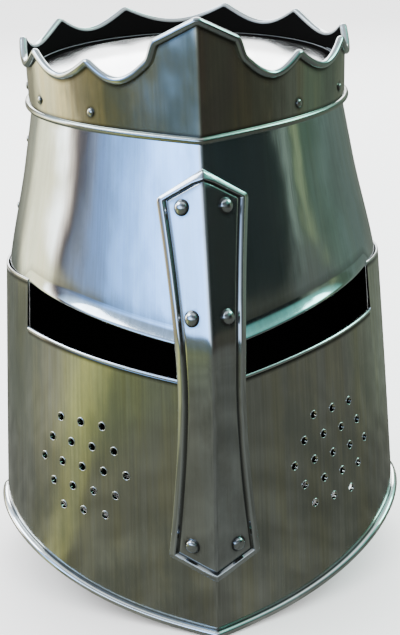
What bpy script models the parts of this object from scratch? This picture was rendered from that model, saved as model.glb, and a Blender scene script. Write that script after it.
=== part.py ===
"""Crowned crusader helmet in sheet steel.

Metres, Z up, the face looks along -Y and +X is the side at the right of a viewer who faces it.
The helmet stands on its rolled rim: the chin's point and the level stretch at the back are at Z = 0,
and the middle of its outer box is over the origin. Every plate follows one of three walls: the lower
wall below the eye slits, the skull wall above them and the crown wall at the top. A place on a wall
has a turn, a height and a distance out of it. The turn is 0 at the keel, 1 at the side and 2 at the
middle of the back, and each plate is made on the +X side and mirrored.
"""

import math
from typing import NamedTuple

import bmesh
import bpy
import numpy as np
from mathutils import Matrix, Vector

# Sheet metal and clearances
WALL = 0.0016
GAP = 0.0003
LAP = WALL + GAP
RIVET_CLEARANCE = 0.0003

# Heights on the walls, measured from the ground before the crown's lean
CHEEK_HEIGHT = 0.080
SIDE_TOP = 0.203
BROW_HEIGHT = 0.200
SEAM_HEIGHT = 0.2912
SKULL_TOP = SEAM_HEIGHT + 0.0193
SLIT_LOWER_FRONT = 0.1568
SLIT_LOWER_SIDE = 0.1730
SLIT_UPPER_FRONT = 0.1794
SLIT_UPPER_SIDE = 0.2008
SKULL_TUCK = 0.005
NAPE_TOP = 0.206
SKULL_BACK_LOW = 0.188

# Lower wall at the rim, the cheeks and the brow: half widths, and depths from the side line
RIM_HALF_WIDTH = 0.1242
RIM_FRONT = 0.1235
RIM_BACK = 0.1250
CHEEK_HALF_WIDTH = 0.1198
CHEEK_FRONT = 0.1355
CHEEK_BACK = 0.1235
BROW_HALF_WIDTH = 0.1125
BROW_FRONT = 0.1375
BROW_BACK = 0.1215

# Skull wall at the brow, and crown wall at its seam and its peaks
SKULL_HALF_WIDTH = 0.1078
SKULL_FRONT = 0.1395
SKULL_BACK = BROW_BACK - 2 * LAP
SEAM_HALF_WIDTH = 0.0933
SEAM_FRONT = 0.1171
SEAM_BACK = 0.1050
PEAK_HALF_WIDTH = 0.0942
PEAK_FRONT = 0.1134
PEAK_BACK = 0.1046
CROWN_LEAN = 0.060

# How far the front slopes back from the keel, in degrees, and how round the back is
RIM_KEEL_SLOPE = 33.4
CHEEK_KEEL_SLOPE = 34.4
BROW_KEEL_SLOPE = 35.5
CROWN_KEEL_SLOPE = 32.6
BACK_ROUNDNESS = 0.5523

# Rolled rim and how it arches over the shoulders
RIM_ARCH = 0.043
RIM_LEVEL_TURN = 1.45
ROLL_RADIUS = 0.0025

# Where the plates end round the helmet
SLIT_END_TURN = 0.71
FRONT_PLATE_END = 1.16
BACK_PLATE_START = 0.98
SEAM_STEP = 0.02
SEAM_RIVET_TURN = 1.08
NAPE_RIVET_TURN = 1.85
FACE_RIVET_SHARES = (0.42, 0.74)
SKULL_RIVET_SHARES = (0.25, 0.71)

# Eye slits
SLIT_CURVE = 1.5
SLIT_STEP = 0.003
SLIT_LIP = 0.0016
LIP_DEPTH = 0.0036
FLANGE_REACH = 0.0026
FLANGE_DEPTH = 0.0065
FLANGE_FADE = 0.22
TUCK_FADE = 0.08
BESIDE_SLIT = 0.05

# Crown band: rises above the seam, and how deep its edge is scalloped
TIP_RISE = 0.0635
SHOULDER_RISE = 0.0510
FOOT_RISE = 0.0415
PEAK_RISE = 0.0380
SCALLOP = 0.0100
CROWN_LIP_RADIUS = 0.0022
BEAD_RADIUS = 0.0020
CROWN_RIVET_RISE = 0.0085

# Top plate
PLATE_EDGE = SEAM_HEIGHT + 0.0173
PLATE_SKIRT = 0.0120
PLATE_DOME = 0.0120

# Nasal bar: its rivets' places are shares of its length and half width
BAR_TOP = 0.2764
BAR_TOP_CORNER = 0.2590
BAR_BOTTOM = 0.0388
BAR_BOTTOM_CORNER = 0.0500
BAR_TOP_HALF = 0.0240
BAR_WAIST_HALF = 0.0175
BAR_BOTTOM_HALF = 0.0253
BAR_WAIST_SHARE = 0.50
BAR_CURVE = 1.6
BAR_CLEARANCE = 3 * GAP
BORDER_WIDTH = 0.0046
BORDER_HEIGHT = 0.0016
BAR_RIVETS = ((0.061, 0.473), (0.327, 0.454), (0.932, 0.500))

# Breaths: a hexagon of round holes on each cheek
BREATH_RADIUS = 0.00175
BREATH_PITCH = 0.0150
BREATH_ROW_PITCH = 0.01375
BREATH_HEIGHT = 0.0950
BREATH_FROM_KEEL = 0.0855
BREATH_ROWS = (3, 4, 5, 4, 3)

# Rivets: head radius, head height and shank radius
BAR_RIVET = (0.00375, 0.0026, 0.0015)
SMALL_RIVET = (0.0022, 0.0015, 0.0010)

# Fineness of the faceted solids
ROLL_SIDES = 8
BEAD_SIDES = 6
PLAN_SAMPLES = 81


class Outline(NamedTuple):
    """One level of a wall: its height, half width, depths, keel slope in degrees and two shape shares."""

    height: float
    half_width: float
    front: float
    back: float
    keel_slope: float
    keel_share: float
    cheek_share: float


RIM = Outline(0.0, RIM_HALF_WIDTH, RIM_FRONT, RIM_BACK, RIM_KEEL_SLOPE, 0.475, 0.59)
CHEEK = Outline(CHEEK_HEIGHT, CHEEK_HALF_WIDTH, CHEEK_FRONT, CHEEK_BACK, CHEEK_KEEL_SLOPE, 0.482, 0.58)
BROW = Outline(BROW_HEIGHT, BROW_HALF_WIDTH, BROW_FRONT, BROW_BACK, BROW_KEEL_SLOPE, 0.489, 0.57)
SKULL = Outline(BROW_HEIGHT, SKULL_HALF_WIDTH, SKULL_FRONT, SKULL_BACK, BROW_KEEL_SLOPE, 0.489, 0.57)
SEAM = Outline(SEAM_HEIGHT, SEAM_HALF_WIDTH, SEAM_FRONT, SEAM_BACK, CROWN_KEEL_SLOPE, 0.493, 0.52)
PEAK_HEIGHT = SEAM_HEIGHT + PEAK_RISE
PEAKS = Outline(PEAK_HEIGHT, PEAK_HALF_WIDTH, PEAK_FRONT, PEAK_BACK, CROWN_KEEL_SLOPE, 0.493, 0.52)

# Crown edge: turn of each point, its rise above the seam, and the share of SCALLOP that sags after it
CROWN_EDGE = (
    (0.000, TIP_RISE, 0.0),
    (0.175, SHOULDER_RISE, 0.0),
    (0.198, FOOT_RISE, 1.0),
    (0.460, PEAK_RISE, 1.0),
    (0.763, PEAK_RISE, 1.0),
    (1.020, PEAK_RISE, 1.0),
    (1.420, PEAK_RISE, 1.0),
    (1.780, PEAK_RISE, 1.0),
    (2.220, PEAK_RISE, 0.0),
)


def blend(levels, height):
    """The outline at this height: straight through two levels, a parabola through three."""
    fields = np.zeros(len(levels[0]))
    for this in levels:
        others = [other.height for other in levels if other is not this]
        weight = math.prod((height - other) / (this.height - other) for other in others)
        fields += weight * np.array(this)
    return Outline(*fields)


def bezier(corners, share):
    """A point and its direction on a cubic Bezier curve."""
    a, b, c, d = (Vector(corner) for corner in corners)
    rest = 1 - share
    point = a * rest**3 + b * (3 * rest**2 * share) + c * (3 * rest * share**2) + d * share**3
    along = (b - a) * rest**2 + (c - b) * (2 * rest * share) + (d - c) * share**2
    return point, along.normalized()


def plan(outline, turn):
    """The outline's point at this turn, and the way out of the wall there, mitred at the keel."""
    wide, slope = outline.half_width, math.radians(outline.keel_slope)
    if turn > 1:
        arm = BACK_ROUNDNESS
        corners = ((wide, 0), (wide, arm * outline.back), (arm * wide, outline.back), (0, outline.back))
        point, along = bezier(corners, turn - 1)
        return point, Vector((along.y, -along.x))
    reach = outline.keel_share * wide
    beside = (reach * math.cos(slope), -outline.front + reach * math.sin(slope))
    corners = ((0, -outline.front), beside, (wide, -outline.cheek_share * outline.front), (wide, 0))
    point, along = bezier(corners, turn)
    if turn == 0:
        return point, Vector((0, -1 / math.cos(slope)))
    return point, Vector((along.y, -along.x))


def lower_wall(turn, height):
    return plan(blend((RIM, CHEEK, BROW), height), turn)


def crown_wall(turn, height):
    return plan(blend((SEAM, PEAKS), height), turn)


def skull_wall(turn, height):
    """Straight from the brow to the crown's seam, and close inside the crown band above it."""
    if height >= SEAM_HEIGHT:
        point, out = crown_wall(turn, height)
        return point - out * LAP, out
    low, out_low = plan(SKULL, turn)
    high, out_high = crown_wall(turn, SEAM_HEIGHT)
    share = (height - BROW_HEIGHT) / (SEAM_HEIGHT - BROW_HEIGHT)
    return low.lerp(high - out_high * LAP, share), out_low.lerp(out_high, share)


def lean(depth, height):
    """How far the crown's lean lifts a point: the skull wall takes it up from the brow to the seam."""
    share = (height - SLIT_UPPER_SIDE) / (SEAM_HEIGHT - SLIT_UPPER_SIDE)
    return CROWN_LEAN * depth * min(max(share, 0.0), 1.0)


def side_share(turn):
    """How far out this turn is, from 0 at the keel to 1 at the side."""
    return plan(BROW, turn)[0].x / BROW_HALF_WIDTH


def slit_lower(turn):
    return SLIT_LOWER_FRONT + (SLIT_LOWER_SIDE - SLIT_LOWER_FRONT) * side_share(turn) ** SLIT_CURVE


def slit_upper(turn):
    return SLIT_UPPER_FRONT + (SLIT_UPPER_SIDE - SLIT_UPPER_FRONT) * side_share(turn) ** SLIT_CURVE


def smooth(value):
    """0 up to 0, 1 from 1, and an even S between them."""
    value = min(max(value, 0.0), 1.0)
    return value * value * (3 - 2 * value)


def rim_height(turn):
    """The rim is lowest at the chin, arches over the shoulders and is level at the back."""
    if turn <= 1:
        return RIM_ARCH * side_share(turn) ** 2
    return RIM_ARCH * (1 - smooth((turn - 1) / (RIM_LEVEL_TURN - 1)))


def crown_rise(turn):
    """The crown edge above the seam: a straight line less a half wave of the scallop."""
    for (start, rise, sag), (end, next_rise, _) in zip(CROWN_EDGE, CROWN_EDGE[1:]):
        if turn <= end:
            share = (turn - start) / (end - start)
            return rise + (next_rise - rise) * share - sag * SCALLOP * math.sin(math.pi * share)
    raise ValueError("turn is past the middle of the back")


def bar_wall(turn, height):
    """What the nasal bar lies on: the skull above the slit, the face plate below it, and a bridge between."""
    low, out_low = lower_wall(turn, min(height, SLIT_LOWER_FRONT))
    high, out_high = skull_wall(turn, max(height, SLIT_UPPER_FRONT))
    share = min(max((height - SLIT_LOWER_FRONT) / (SLIT_UPPER_FRONT - SLIT_LOWER_FRONT), 0.0), 1.0)
    return low.lerp(high, share), out_low.lerp(out_high, share)


def bar_depth(height):
    """Depth of the bar's back at the keel: down the skull, over its flared edge, and in to the cheeks."""
    mitre = 1 / math.cos(math.radians(SKULL.keel_slope))
    high = -skull_wall(0, BAR_TOP)[0].y + 2 * GAP * mitre
    edge = -skull_wall(0, SLIT_UPPER_FRONT)[0].y + (FLANGE_REACH + BAR_CLEARANCE) * mitre
    if height > SLIT_UPPER_FRONT:
        return high + (edge - high) * (BAR_TOP - height) / (BAR_TOP - SLIT_UPPER_FRONT)
    face = -lower_wall(0, min(height, SLIT_LOWER_FRONT))[0].y + GAP * mitre
    step = edge + lower_wall(0, SLIT_LOWER_FRONT)[0].y - GAP * mitre
    return face + step * smooth((height - CHEEK_HEIGHT) / (SLIT_UPPER_FRONT - CHEEK_HEIGHT))


def bar_reach():
    """How far the nasal bar stands in front of the side line."""
    heights = np.linspace(BAR_BOTTOM, BAR_TOP, PLAN_SAMPLES)
    thickness = WALL / math.cos(math.radians(BROW_KEEL_SLOPE))
    return max(bar_depth(height) for height in heights) + thickness


MIDDLE = (bar_reach() - (RIM_BACK - LAP - WALL + 2 * ROLL_RADIUS)) / 2


def place(wall, turn, height, out=0.0):
    """The point at this turn and height, this far out of the wall."""
    point, way = wall(turn, height)
    point = point + way * out
    return Vector((point.x, point.y + MIDDLE, height + lean(point.y, height)))


def way_out(wall, turn, height):
    """Unit vector square to the wall."""
    step = 0.002
    along = place(wall, turn + step, height) - place(wall, turn - step, height)
    up = place(wall, turn, height + step) - place(wall, turn, height - step)
    return along.cross(up).normalized()


def turn_at(wall, height, distance):
    """The turn that lies this far round the wall from the keel."""
    turns = np.linspace(0, 1, PLAN_SAMPLES)
    points = np.array([wall(turn, height)[0] for turn in turns])
    lengths = np.linalg.norm(np.diff(points, axis=0), axis=1)
    return float(np.interp(distance, np.concatenate([[0], np.cumsum(lengths)]), turns))


def turn_at_width(wall, height, half_width):
    """The turn at which the wall is this far from the middle plane."""
    turns = np.linspace(0, 1, PLAN_SAMPLES)
    widths = [wall(turn, height)[0].x for turn in turns]
    return float(np.interp(half_width, widths, turns))


def steel(name, colour, roughness):
    """A plain polished steel."""
    material = bpy.data.materials.new(name)
    material.use_nodes = True
    shader = material.node_tree.nodes["Principled BSDF"]
    shader.inputs["Base Color"].default_value = (*colour, 1)
    shader.inputs["Metallic"].default_value = 1.0
    shader.inputs["Roughness"].default_value = roughness
    return material


def new_object(name, shape, collection, material=None, smooth_below=35):
    """An object round this bmesh, shaded smooth below an angle in degrees."""
    mesh = bpy.data.meshes.new(name)
    shape.to_mesh(mesh)
    shape.free()
    mesh.shade_smooth()
    mesh.set_sharp_from_angle(angle=math.radians(smooth_below))
    if material:
        mesh.materials.append(material)
    obj = bpy.data.objects.new(name, mesh)
    collection.objects.link(obj)
    return obj


def mirror(obj):
    """Completes a piece whose +X half is open at the middle plane."""
    modifier = obj.modifiers.new("other side", "MIRROR")
    modifier.merge_threshold = 0.0001
    return obj


def add_faces(shape, rows, closed):
    """Quads between rows of vertices, each row a loop where closed is true."""
    for row, after in zip(rows, rows[1:]):
        count = len(row) if closed else len(row) - 1
        for index in range(count):
            follow = (index + 1) % len(row)
            shape.faces.new((row[index], row[follow], after[follow], after[index]))


def loft(name, rings, material, capped=False):
    """A half plate: closed rings of points from the middle plane round to the last ring."""
    shape = bmesh.new()
    rows = [[shape.verts.new(point) for point in ring] for ring in rings]
    add_faces(shape, rows, closed=True)
    if capped == "start":
        shape.faces.new(reversed(rows[0]))
    elif capped == "end":
        shape.faces.new(rows[-1])
    return mirror(new_object(name, shape, PARTS, material))


def roll(radius, base, upward=1):
    """Points round a rolled edge that stands out of the sheet, from its outer face to its inner face."""
    middle_out, middle_up = radius - WALL, base + upward * radius
    corner = radius / math.cos(math.pi / ROLL_SIDES)
    start = 0.5 - 1 / ROLL_SIDES
    points = []
    for index in range(ROLL_SIDES - 2):
        angle = math.pi * (start - 2 * index / ROLL_SIDES)
        points.append((middle_out + corner * math.cos(angle), middle_up + upward * corner * math.sin(angle)))
    return points


def wall_heights(base, top):
    """Heights down a lower plate to its rolled rim, the same for the face plate's side and the nape plate."""
    return [top + (base + 2 * ROLL_RADIUS - top) * share for share in (0, 0.5, 1)]


def face_profile(turn, open_slit):
    """The face plate from its top edge down its outer face, round the rolled rim and up inside."""
    base = rim_height(turn)
    top = slit_lower(turn) if open_slit else SIDE_TOP
    lip = SLIT_LIP if open_slit else 0.0
    heights = wall_heights(base, top - LIP_DEPTH)
    outer = [(lip, top), (lip, top - LIP_DEPTH * 0.6)] + [(0, height) for height in heights]
    inner = [(-WALL, height) for height in reversed(heights[:-1])] + [(-WALL, top)]
    return outer + roll(ROLL_RADIUS, base) + inner


def nape_profile(turn):
    """The nape plate, one lap inside the face plate: its rim is rolled where it stands clear."""
    base = rim_height(turn)
    heights = [NAPE_TOP] + wall_heights(base, SIDE_TOP - LIP_DEPTH)
    outer = [(-LAP, height) for height in heights]
    inner = [(-LAP - WALL, height) for height in reversed(heights[:-1])]
    radius = ROLL_RADIUS if turn >= FRONT_PLATE_END + SEAM_STEP else WALL / 2
    return outer + [(out - LAP, height) for out, height in roll(radius, base)] + inner


def skull_profile(turn):
    """The front skull plate: its lower edge flares out above the slit and tucks in beside it."""
    flare = FLANGE_REACH * (1 - smooth((turn - SLIT_END_TURN) / FLANGE_FADE + 1))
    tuck = SKULL_TUCK * smooth((turn - SLIT_END_TURN) / TUCK_FADE)
    low = slit_upper(turn) - tuck
    outer = [(0, SKULL_TOP), (0, SEAM_HEIGHT), (0, low + FLANGE_DEPTH)]
    outer += [(0.3 * flare, low + 0.45 * FLANGE_DEPTH), (flare, low)]
    return outer + [(out - WALL, height) for out, height in reversed(outer)]


def skull_back_profile(turn):
    """The rear skull plate, one lap inside the front one."""
    outer = [(-LAP, height) for height in (SKULL_TOP, SEAM_HEIGHT, SKULL_BACK_LOW)]
    return outer + [(out - WALL, height) for out, height in reversed(outer)]


def crown_profile(turn):
    """The crown band from its lower edge inside, up round its rolled lip and down outside."""
    top = SEAM_HEIGHT + crown_rise(turn)
    base = SEAM_HEIGHT + BEAD_RADIUS + GAP
    wall_top = top - 2 * CROWN_LIP_RADIUS
    lip = roll(CROWN_LIP_RADIUS, top, upward=-1)
    inner = [(-WALL, wall_top), (-WALL, (base + wall_top) / 2), (-WALL, base)]
    outer = [(0, base), (0, (base + wall_top) / 2), (0, wall_top)]
    return list(reversed(inner)) + list(reversed(lip)) + list(reversed(outer))


def bead_profile(turn):
    """A round bead that lies under the crown band, against the skull."""
    middle = BEAD_RADIUS - LAP + GAP
    angles = [-math.tau * index / BEAD_SIDES for index in range(BEAD_SIDES)]
    return [(middle + BEAD_RADIUS * math.cos(a), SEAM_HEIGHT + BEAD_RADIUS * math.sin(a)) for a in angles]


def rings(wall, turns, profile):
    """The profile's points in space at each turn."""
    return [[place(wall, turn, height, out) for out, height in profile(turn)] for turn in turns]


def even_turns(start, end, count):
    return [float(turn) for turn in np.linspace(start, end, count)]


def face_plate(material):
    """The keeled lower front: it is low in front of the slit and steps up beside it."""
    beside = even_turns(SLIT_END_TURN, FRONT_PLATE_END, 8)
    under = even_turns(0, SLIT_END_TURN - SLIT_STEP, 14)
    before = rings(lower_wall, under, lambda turn: face_profile(turn, True))
    after = rings(lower_wall, beside, lambda turn: face_profile(turn, False))
    return loft("face_plate", before + after, material, capped="end")


def nape_plate(material):
    covered = even_turns(BACK_PLATE_START, FRONT_PLATE_END + SEAM_STEP - SLIT_STEP, 5)
    turns = covered + even_turns(FRONT_PLATE_END + SEAM_STEP, 2, 13)
    return loft("nape_plate", rings(lower_wall, turns, nape_profile), material, capped="start")


def skull_front(material):
    turns = even_turns(0, SLIT_END_TURN, 13) + even_turns(SLIT_END_TURN + BESIDE_SLIT, FRONT_PLATE_END, 7)
    return loft("skull_front", rings(skull_wall, turns, skull_profile), material, capped="end")


def skull_back(material):
    turns = even_turns(BACK_PLATE_START, 2, 15)
    return loft("skull_back", rings(skull_wall, turns, skull_back_profile), material, capped="start")


def crown_turns():
    """Turns that meet every point of the crown edge, with six steps to a scallop."""
    turns = []
    for (start, _, sag), (end, _, _) in zip(CROWN_EDGE, CROWN_EDGE[1:]):
        steps = 6 if sag and start < 1 else 5 if sag else 2
        turns += [turn for turn in even_turns(start, end, steps + 1)[:-1] if turn < 1.999]
    return turns + [2.0]


def crown_band(material):
    return loft("crown_band", rings(crown_wall, crown_turns(), crown_profile), material)


def crown_bead(material):
    return loft("crown_bead", rings(crown_wall, even_turns(0, 2, 25), bead_profile), material)


def top_plate(material):
    """A low dome with a skirt that fits inside the skull plates, two laps inside the crown."""
    turns = even_turns(0, 2, 21)
    inside = -LAP - LAP - LAP
    edge = [place(crown_wall, turn, PLATE_EDGE, inside) for turn in turns]
    centre = Vector((0, MIDDLE, PLATE_EDGE))
    shape = bmesh.new()
    rows = [[shape.verts.new(place(crown_wall, turn, PLATE_EDGE - PLATE_SKIRT, inside)) for turn in turns]]
    for share in (1, 0.85, 0.5):
        rise = Vector((0, 0, PLATE_DOME * (1 - share**2)))
        rows.append([shape.verts.new(centre.lerp(point, share) + rise) for point in edge])
    add_faces(shape, rows, closed=False)
    summit = shape.verts.new(centre + Vector((0, 0, PLATE_DOME)))
    for here, after in zip(rows[-1], rows[-1][1:]):
        shape.faces.new((here, after, summit))
    plate = mirror(new_object("top_plate", shape, PARTS, material))
    thickness = plate.modifiers.new("sheet", "SOLIDIFY")
    thickness.thickness = WALL
    thickness.offset = -1
    return plate


def bar_half_width(share):
    """Half width from the upper corners, at 0, in to the waist and out to the lower corners, at 1."""
    if share < BAR_WAIST_SHARE:
        away = 1 - share / BAR_WAIST_SHARE
        return BAR_WAIST_HALF + (BAR_TOP_HALF - BAR_WAIST_HALF) * away**BAR_CURVE
    away = (share - BAR_WAIST_SHARE) / (1 - BAR_WAIST_SHARE)
    return BAR_WAIST_HALF + (BAR_BOTTOM_HALF - BAR_WAIST_HALF) * away**BAR_CURVE


def bar_place(height, half_width, out):
    """A point on the bar at this distance from the middle plane, this far out of its back."""
    turn = turn_at_width(bar_wall, height, half_width)
    point, way = bar_wall(turn, height)
    forward = bar_depth(height) + bar_wall(0, height)[0].y
    point = point + way * out - Vector((0, forward))
    return Vector((point.x, point.y + MIDDLE, height + lean(point.y, height)))


def bar_spot(share, across):
    """Height and half width on the bar, this share down its length and from the ridge to the edge."""
    edge_height = BAR_TOP_CORNER + (BAR_BOTTOM_CORNER - BAR_TOP_CORNER) * share
    ridge_height = BAR_TOP + (BAR_BOTTOM - BAR_TOP) * share
    return ridge_height + (edge_height - ridge_height) * across, bar_half_width(share) * across


def nasal_bar(material):
    """A keeled bar whose border is raised all round."""
    length = BAR_TOP_CORNER - BAR_BOTTOM_CORNER
    border = BORDER_WIDTH / length
    ends = [0, border * 0.5, border, border * 1.5]
    shares = ends + even_turns(border * 4, 1 - border * 4, 9) + [1 - share for share in reversed(ends)]
    shape = bmesh.new()
    rows = []
    for share in shares:
        rim = BORDER_WIDTH / bar_half_width(share)
        end = min(share, 1 - share) / border
        row = []
        for across, side in ((0, 0), (0.5, 0), (1 - rim * 1.4, 0), (1 - rim, 0.2), (1 - rim / 2, 1), (1, 0)):
            raised = max(side, 1 - abs(end - 0.5) * 2) if 0 < end < 1 else side
            raised = raised if 0 < share < 1 else 0
            row.append(shape.verts.new(bar_place(*bar_spot(share, across), WALL + BORDER_HEIGHT * raised)))
        rows.append(row)
    add_faces(shape, [list(row) for row in zip(*rows)], closed=False)
    bar = mirror(new_object("nasal_bar", shape, PARTS, material))
    thickness = bar.modifiers.new("sheet", "SOLIDIFY")
    thickness.thickness = WALL
    thickness.offset = -1
    return bar


def prism(shape, centre, way, radius, reach, sides):
    """A closed prism along way, this far to each side of its centre."""
    turned = way.to_track_quat("Z", "Y").to_matrix().to_4x4()
    bmesh.ops.create_cone(
        shape,
        cap_ends=True,
        segments=sides,
        radius1=radius,
        radius2=radius,
        depth=2 * reach,
        matrix=Matrix.Translation(centre) @ turned,
    )


def cut(obj, name, holes, sides):
    """Cuts round holes: each has a centre, a direction, a radius and a reach."""
    shape = bmesh.new()
    for centre, way, radius, reach in holes:
        prism(shape, centre, way, radius, reach, sides)
    cutter = new_object(name, shape, CUTTERS)
    cutter.hide_render = True
    cutter.display_type = "WIRE"
    modifier = obj.modifiers.new(name, "BOOLEAN")
    modifier.operation = "DIFFERENCE"
    modifier.solver = "EXACT"
    modifier.object = cutter


def both_sides(places):
    """Each place on the +X side, and its mirror image."""
    flip = Vector((-1, 1, 1))
    return places + [(centre * flip, way * flip, *rest) for centre, way, *rest in places]


def breaths():
    """Centres of one cheek's holes, staggered row by row, with the way out of the plate."""
    places = []
    for row, count in enumerate(BREATH_ROWS):
        height = BREATH_HEIGHT + ((len(BREATH_ROWS) - 1) / 2 - row) * BREATH_ROW_PITCH
        for column in range(count):
            distance = BREATH_FROM_KEEL + (column - (count - 1) / 2) * BREATH_PITCH
            turn = turn_at(lower_wall, height, distance)
            way = way_out(lower_wall, turn, height)
            places.append((place(lower_wall, turn, height), way, BREATH_RADIUS, 3 * WALL))
    return places


def rivet_mesh(name, sizes, length, material, steps):
    """A domed head on a plain shank, turned about Z, with the seat of the head at Z = 0."""
    radius, height, shank = sizes
    profile = [(0, height), (radius * 0.72, height * 0.68), (radius, 0)]
    profile += [(shank, 0), (shank, -length), (0, -length)]
    shape = bmesh.new()
    points = [shape.verts.new((x, 0, z)) for x, z in profile]
    for here, after in zip(points, points[1:]):
        shape.edges.new((here, after))
    rivet = new_object(name, shape, PARTS, material)
    screw = rivet.modifiers.new("turned", "SCREW")
    screw.steps = steps
    screw.render_steps = steps
    screw.use_merge_vertices = True
    screw.merge_threshold = 0.0001
    screw.use_smooth_shade = True
    return rivet


def set_rivets(name, places, sizes, material, steps=8):
    """One rivet at each place and its mirror image: its seat, the way out and its shank's length."""
    for index, (seat, way, length) in enumerate(both_sides(places)):
        rivet = rivet_mesh(f"{name}_{index + 1}", sizes, length, material, steps)
        turned = way.to_track_quat("Z", "Y").to_matrix().to_4x4()
        rivet.matrix_world = Matrix.Translation(seat + way * GAP) @ turned


def rivet_holes(places, sizes):
    """Holes that clear these rivets' shanks, through every sheet that they pass."""
    radius = sizes[2] + RIVET_CLEARANCE
    return [(seat, way, radius, length + 2 * WALL) for seat, way, length in both_sides(places)]


def wall_rivets(wall, spots, length):
    """Rivets that seat on a wall: each spot has a turn, a height and a distance out."""
    places = []
    for turn, height, out in spots:
        places.append((place(wall, turn, height, out), way_out(wall, turn, height), length))
    return places


def bar_rivets():
    """Rivets through the nasal bar and the plate behind it."""
    places = []
    for share, across in BAR_RIVETS:
        height, half_width = bar_spot(share, across)
        behind = skull_wall if height > SLIT_UPPER_FRONT else lower_wall
        turn = turn_at_width(behind, height, half_width)
        way = way_out(behind, turn, height)
        seat = bar_place(height, half_width, WALL)
        places.append((seat, way, (seat - place(behind, turn, height)).dot(way) + WALL + GAP))
    return places


def build():
    bright = steel("bright_steel", (0.60, 0.62, 0.64), 0.22)
    shaded = steel("face_steel", (0.42, 0.42, 0.40), 0.30)
    band = steel("crown_steel", (0.50, 0.50, 0.46), 0.26)
    heads = steel("rivet_steel", (0.45, 0.47, 0.50), 0.25)

    face = face_plate(shaded)
    nape = nape_plate(shaded)
    front = skull_front(bright)
    back = skull_back(bright)
    crown = crown_band(band)
    crown_bead(band)
    top = top_plate(bright)
    bar = nasal_bar(bright)

    on_bar = bar_rivets()
    crown_spots = [(turn, SEAM_HEIGHT + CROWN_RIVET_RISE, 0) for turn, rise, _ in CROWN_EDGE[3:-1]]
    on_crown = wall_rivets(crown_wall, crown_spots, 4 * LAP)
    face_spots = [(SEAM_RIVET_TURN, SIDE_TOP * share, 0) for share in FACE_RIVET_SHARES]
    on_face = wall_rivets(lower_wall, face_spots, 2 * LAP)
    skull_height = SEAM_HEIGHT - SIDE_TOP
    skull_spots = [(SEAM_RIVET_TURN, SIDE_TOP + skull_height * share, 0) for share in SKULL_RIVET_SHARES]
    on_skull = wall_rivets(skull_wall, skull_spots, 2 * LAP)
    nape_height = (NAPE_TOP + SKULL_BACK_LOW) / 2
    way = way_out(lower_wall, NAPE_RIVET_TURN, nape_height)
    apart = place(lower_wall, NAPE_RIVET_TURN, nape_height) - place(skull_wall, NAPE_RIVET_TURN, nape_height)
    on_nape = wall_rivets(lower_wall, [(NAPE_RIVET_TURN, nape_height, -LAP)], apart.dot(way) + WALL)

    cut(face, "breath_holes", both_sides(breaths()), sides=8)
    face_holes = rivet_holes(on_bar[2:], BAR_RIVET) + rivet_holes(on_face, SMALL_RIVET)
    cut(face, "face_rivet_holes", face_holes, sides=6)
    cut(nape, "nape_rivet_holes", rivet_holes(on_face + on_nape, SMALL_RIVET), sides=6)
    cut(front, "skull_rivet_holes", rivet_holes(on_bar[:2], BAR_RIVET), sides=6)
    cut(front, "skull_small_holes", rivet_holes(on_skull + on_crown[:3], SMALL_RIVET), sides=6)
    cut(back, "back_rivet_holes", rivet_holes(on_skull + on_nape + on_crown[2:], SMALL_RIVET), sides=6)
    cut(crown, "crown_rivet_holes", rivet_holes(on_crown, SMALL_RIVET), sides=6)
    cut(top, "top_rivet_holes", rivet_holes(on_crown, SMALL_RIVET), sides=6)
    cut(bar, "bar_rivet_holes", rivet_holes(on_bar, BAR_RIVET), sides=6)

    set_rivets("bar_rivet", on_bar, BAR_RIVET, heads)
    set_rivets("crown_rivet", on_crown, SMALL_RIVET, heads, steps=6)
    set_rivets("face_rivet", on_face, SMALL_RIVET, heads, steps=6)
    set_rivets("skull_rivet", on_skull, SMALL_RIVET, heads, steps=6)
    set_rivets("nape_rivet", on_nape, SMALL_RIVET, heads, steps=6)


for leftover in list(bpy.data.objects):
    bpy.data.objects.remove(leftover, do_unlink=True)
PARTS = bpy.data.collections.new("crusader_helmet")
CUTTERS = bpy.data.collections.new("cutters")
bpy.context.scene.collection.children.link(PARTS)
bpy.context.scene.collection.children.link(CUTTERS)
CUTTERS.hide_render = True
build()
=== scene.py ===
"""Looks for the crowned crusader helmet: every plate, edge and rivet made again as a fine sheet.

Metres, Z up, the face looks along -Y. A place on a wall has a turn, a height and a distance out.
The turn is 0 at the keel, 1 at the side and 2 at the middle of the back, and minus on the -X side.
"""

import math

import bmesh
import bpy
import numpy as np
from mathutils import Matrix, Vector


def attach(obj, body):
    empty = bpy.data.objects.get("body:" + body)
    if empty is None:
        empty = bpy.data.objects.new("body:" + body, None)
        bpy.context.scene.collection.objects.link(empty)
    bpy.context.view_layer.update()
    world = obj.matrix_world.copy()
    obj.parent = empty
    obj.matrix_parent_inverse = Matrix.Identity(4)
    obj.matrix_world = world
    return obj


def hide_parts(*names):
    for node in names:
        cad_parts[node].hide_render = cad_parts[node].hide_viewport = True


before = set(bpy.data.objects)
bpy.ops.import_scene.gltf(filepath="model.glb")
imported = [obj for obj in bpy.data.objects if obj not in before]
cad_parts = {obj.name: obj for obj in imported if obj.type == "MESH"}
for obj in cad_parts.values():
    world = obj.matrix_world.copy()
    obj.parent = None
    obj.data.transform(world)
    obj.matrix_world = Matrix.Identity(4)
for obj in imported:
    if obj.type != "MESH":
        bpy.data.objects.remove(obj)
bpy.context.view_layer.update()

# Marks carried by every point of a sheet: edge wear, inner faces, and painted shade in creases and round
# rivets
MASKS = ("wear", "inside", "painted_shade")

# Sheet metal, as in the solids
WALL = 0.0016
GAP = 0.0003
LAP = WALL + GAP

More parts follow.
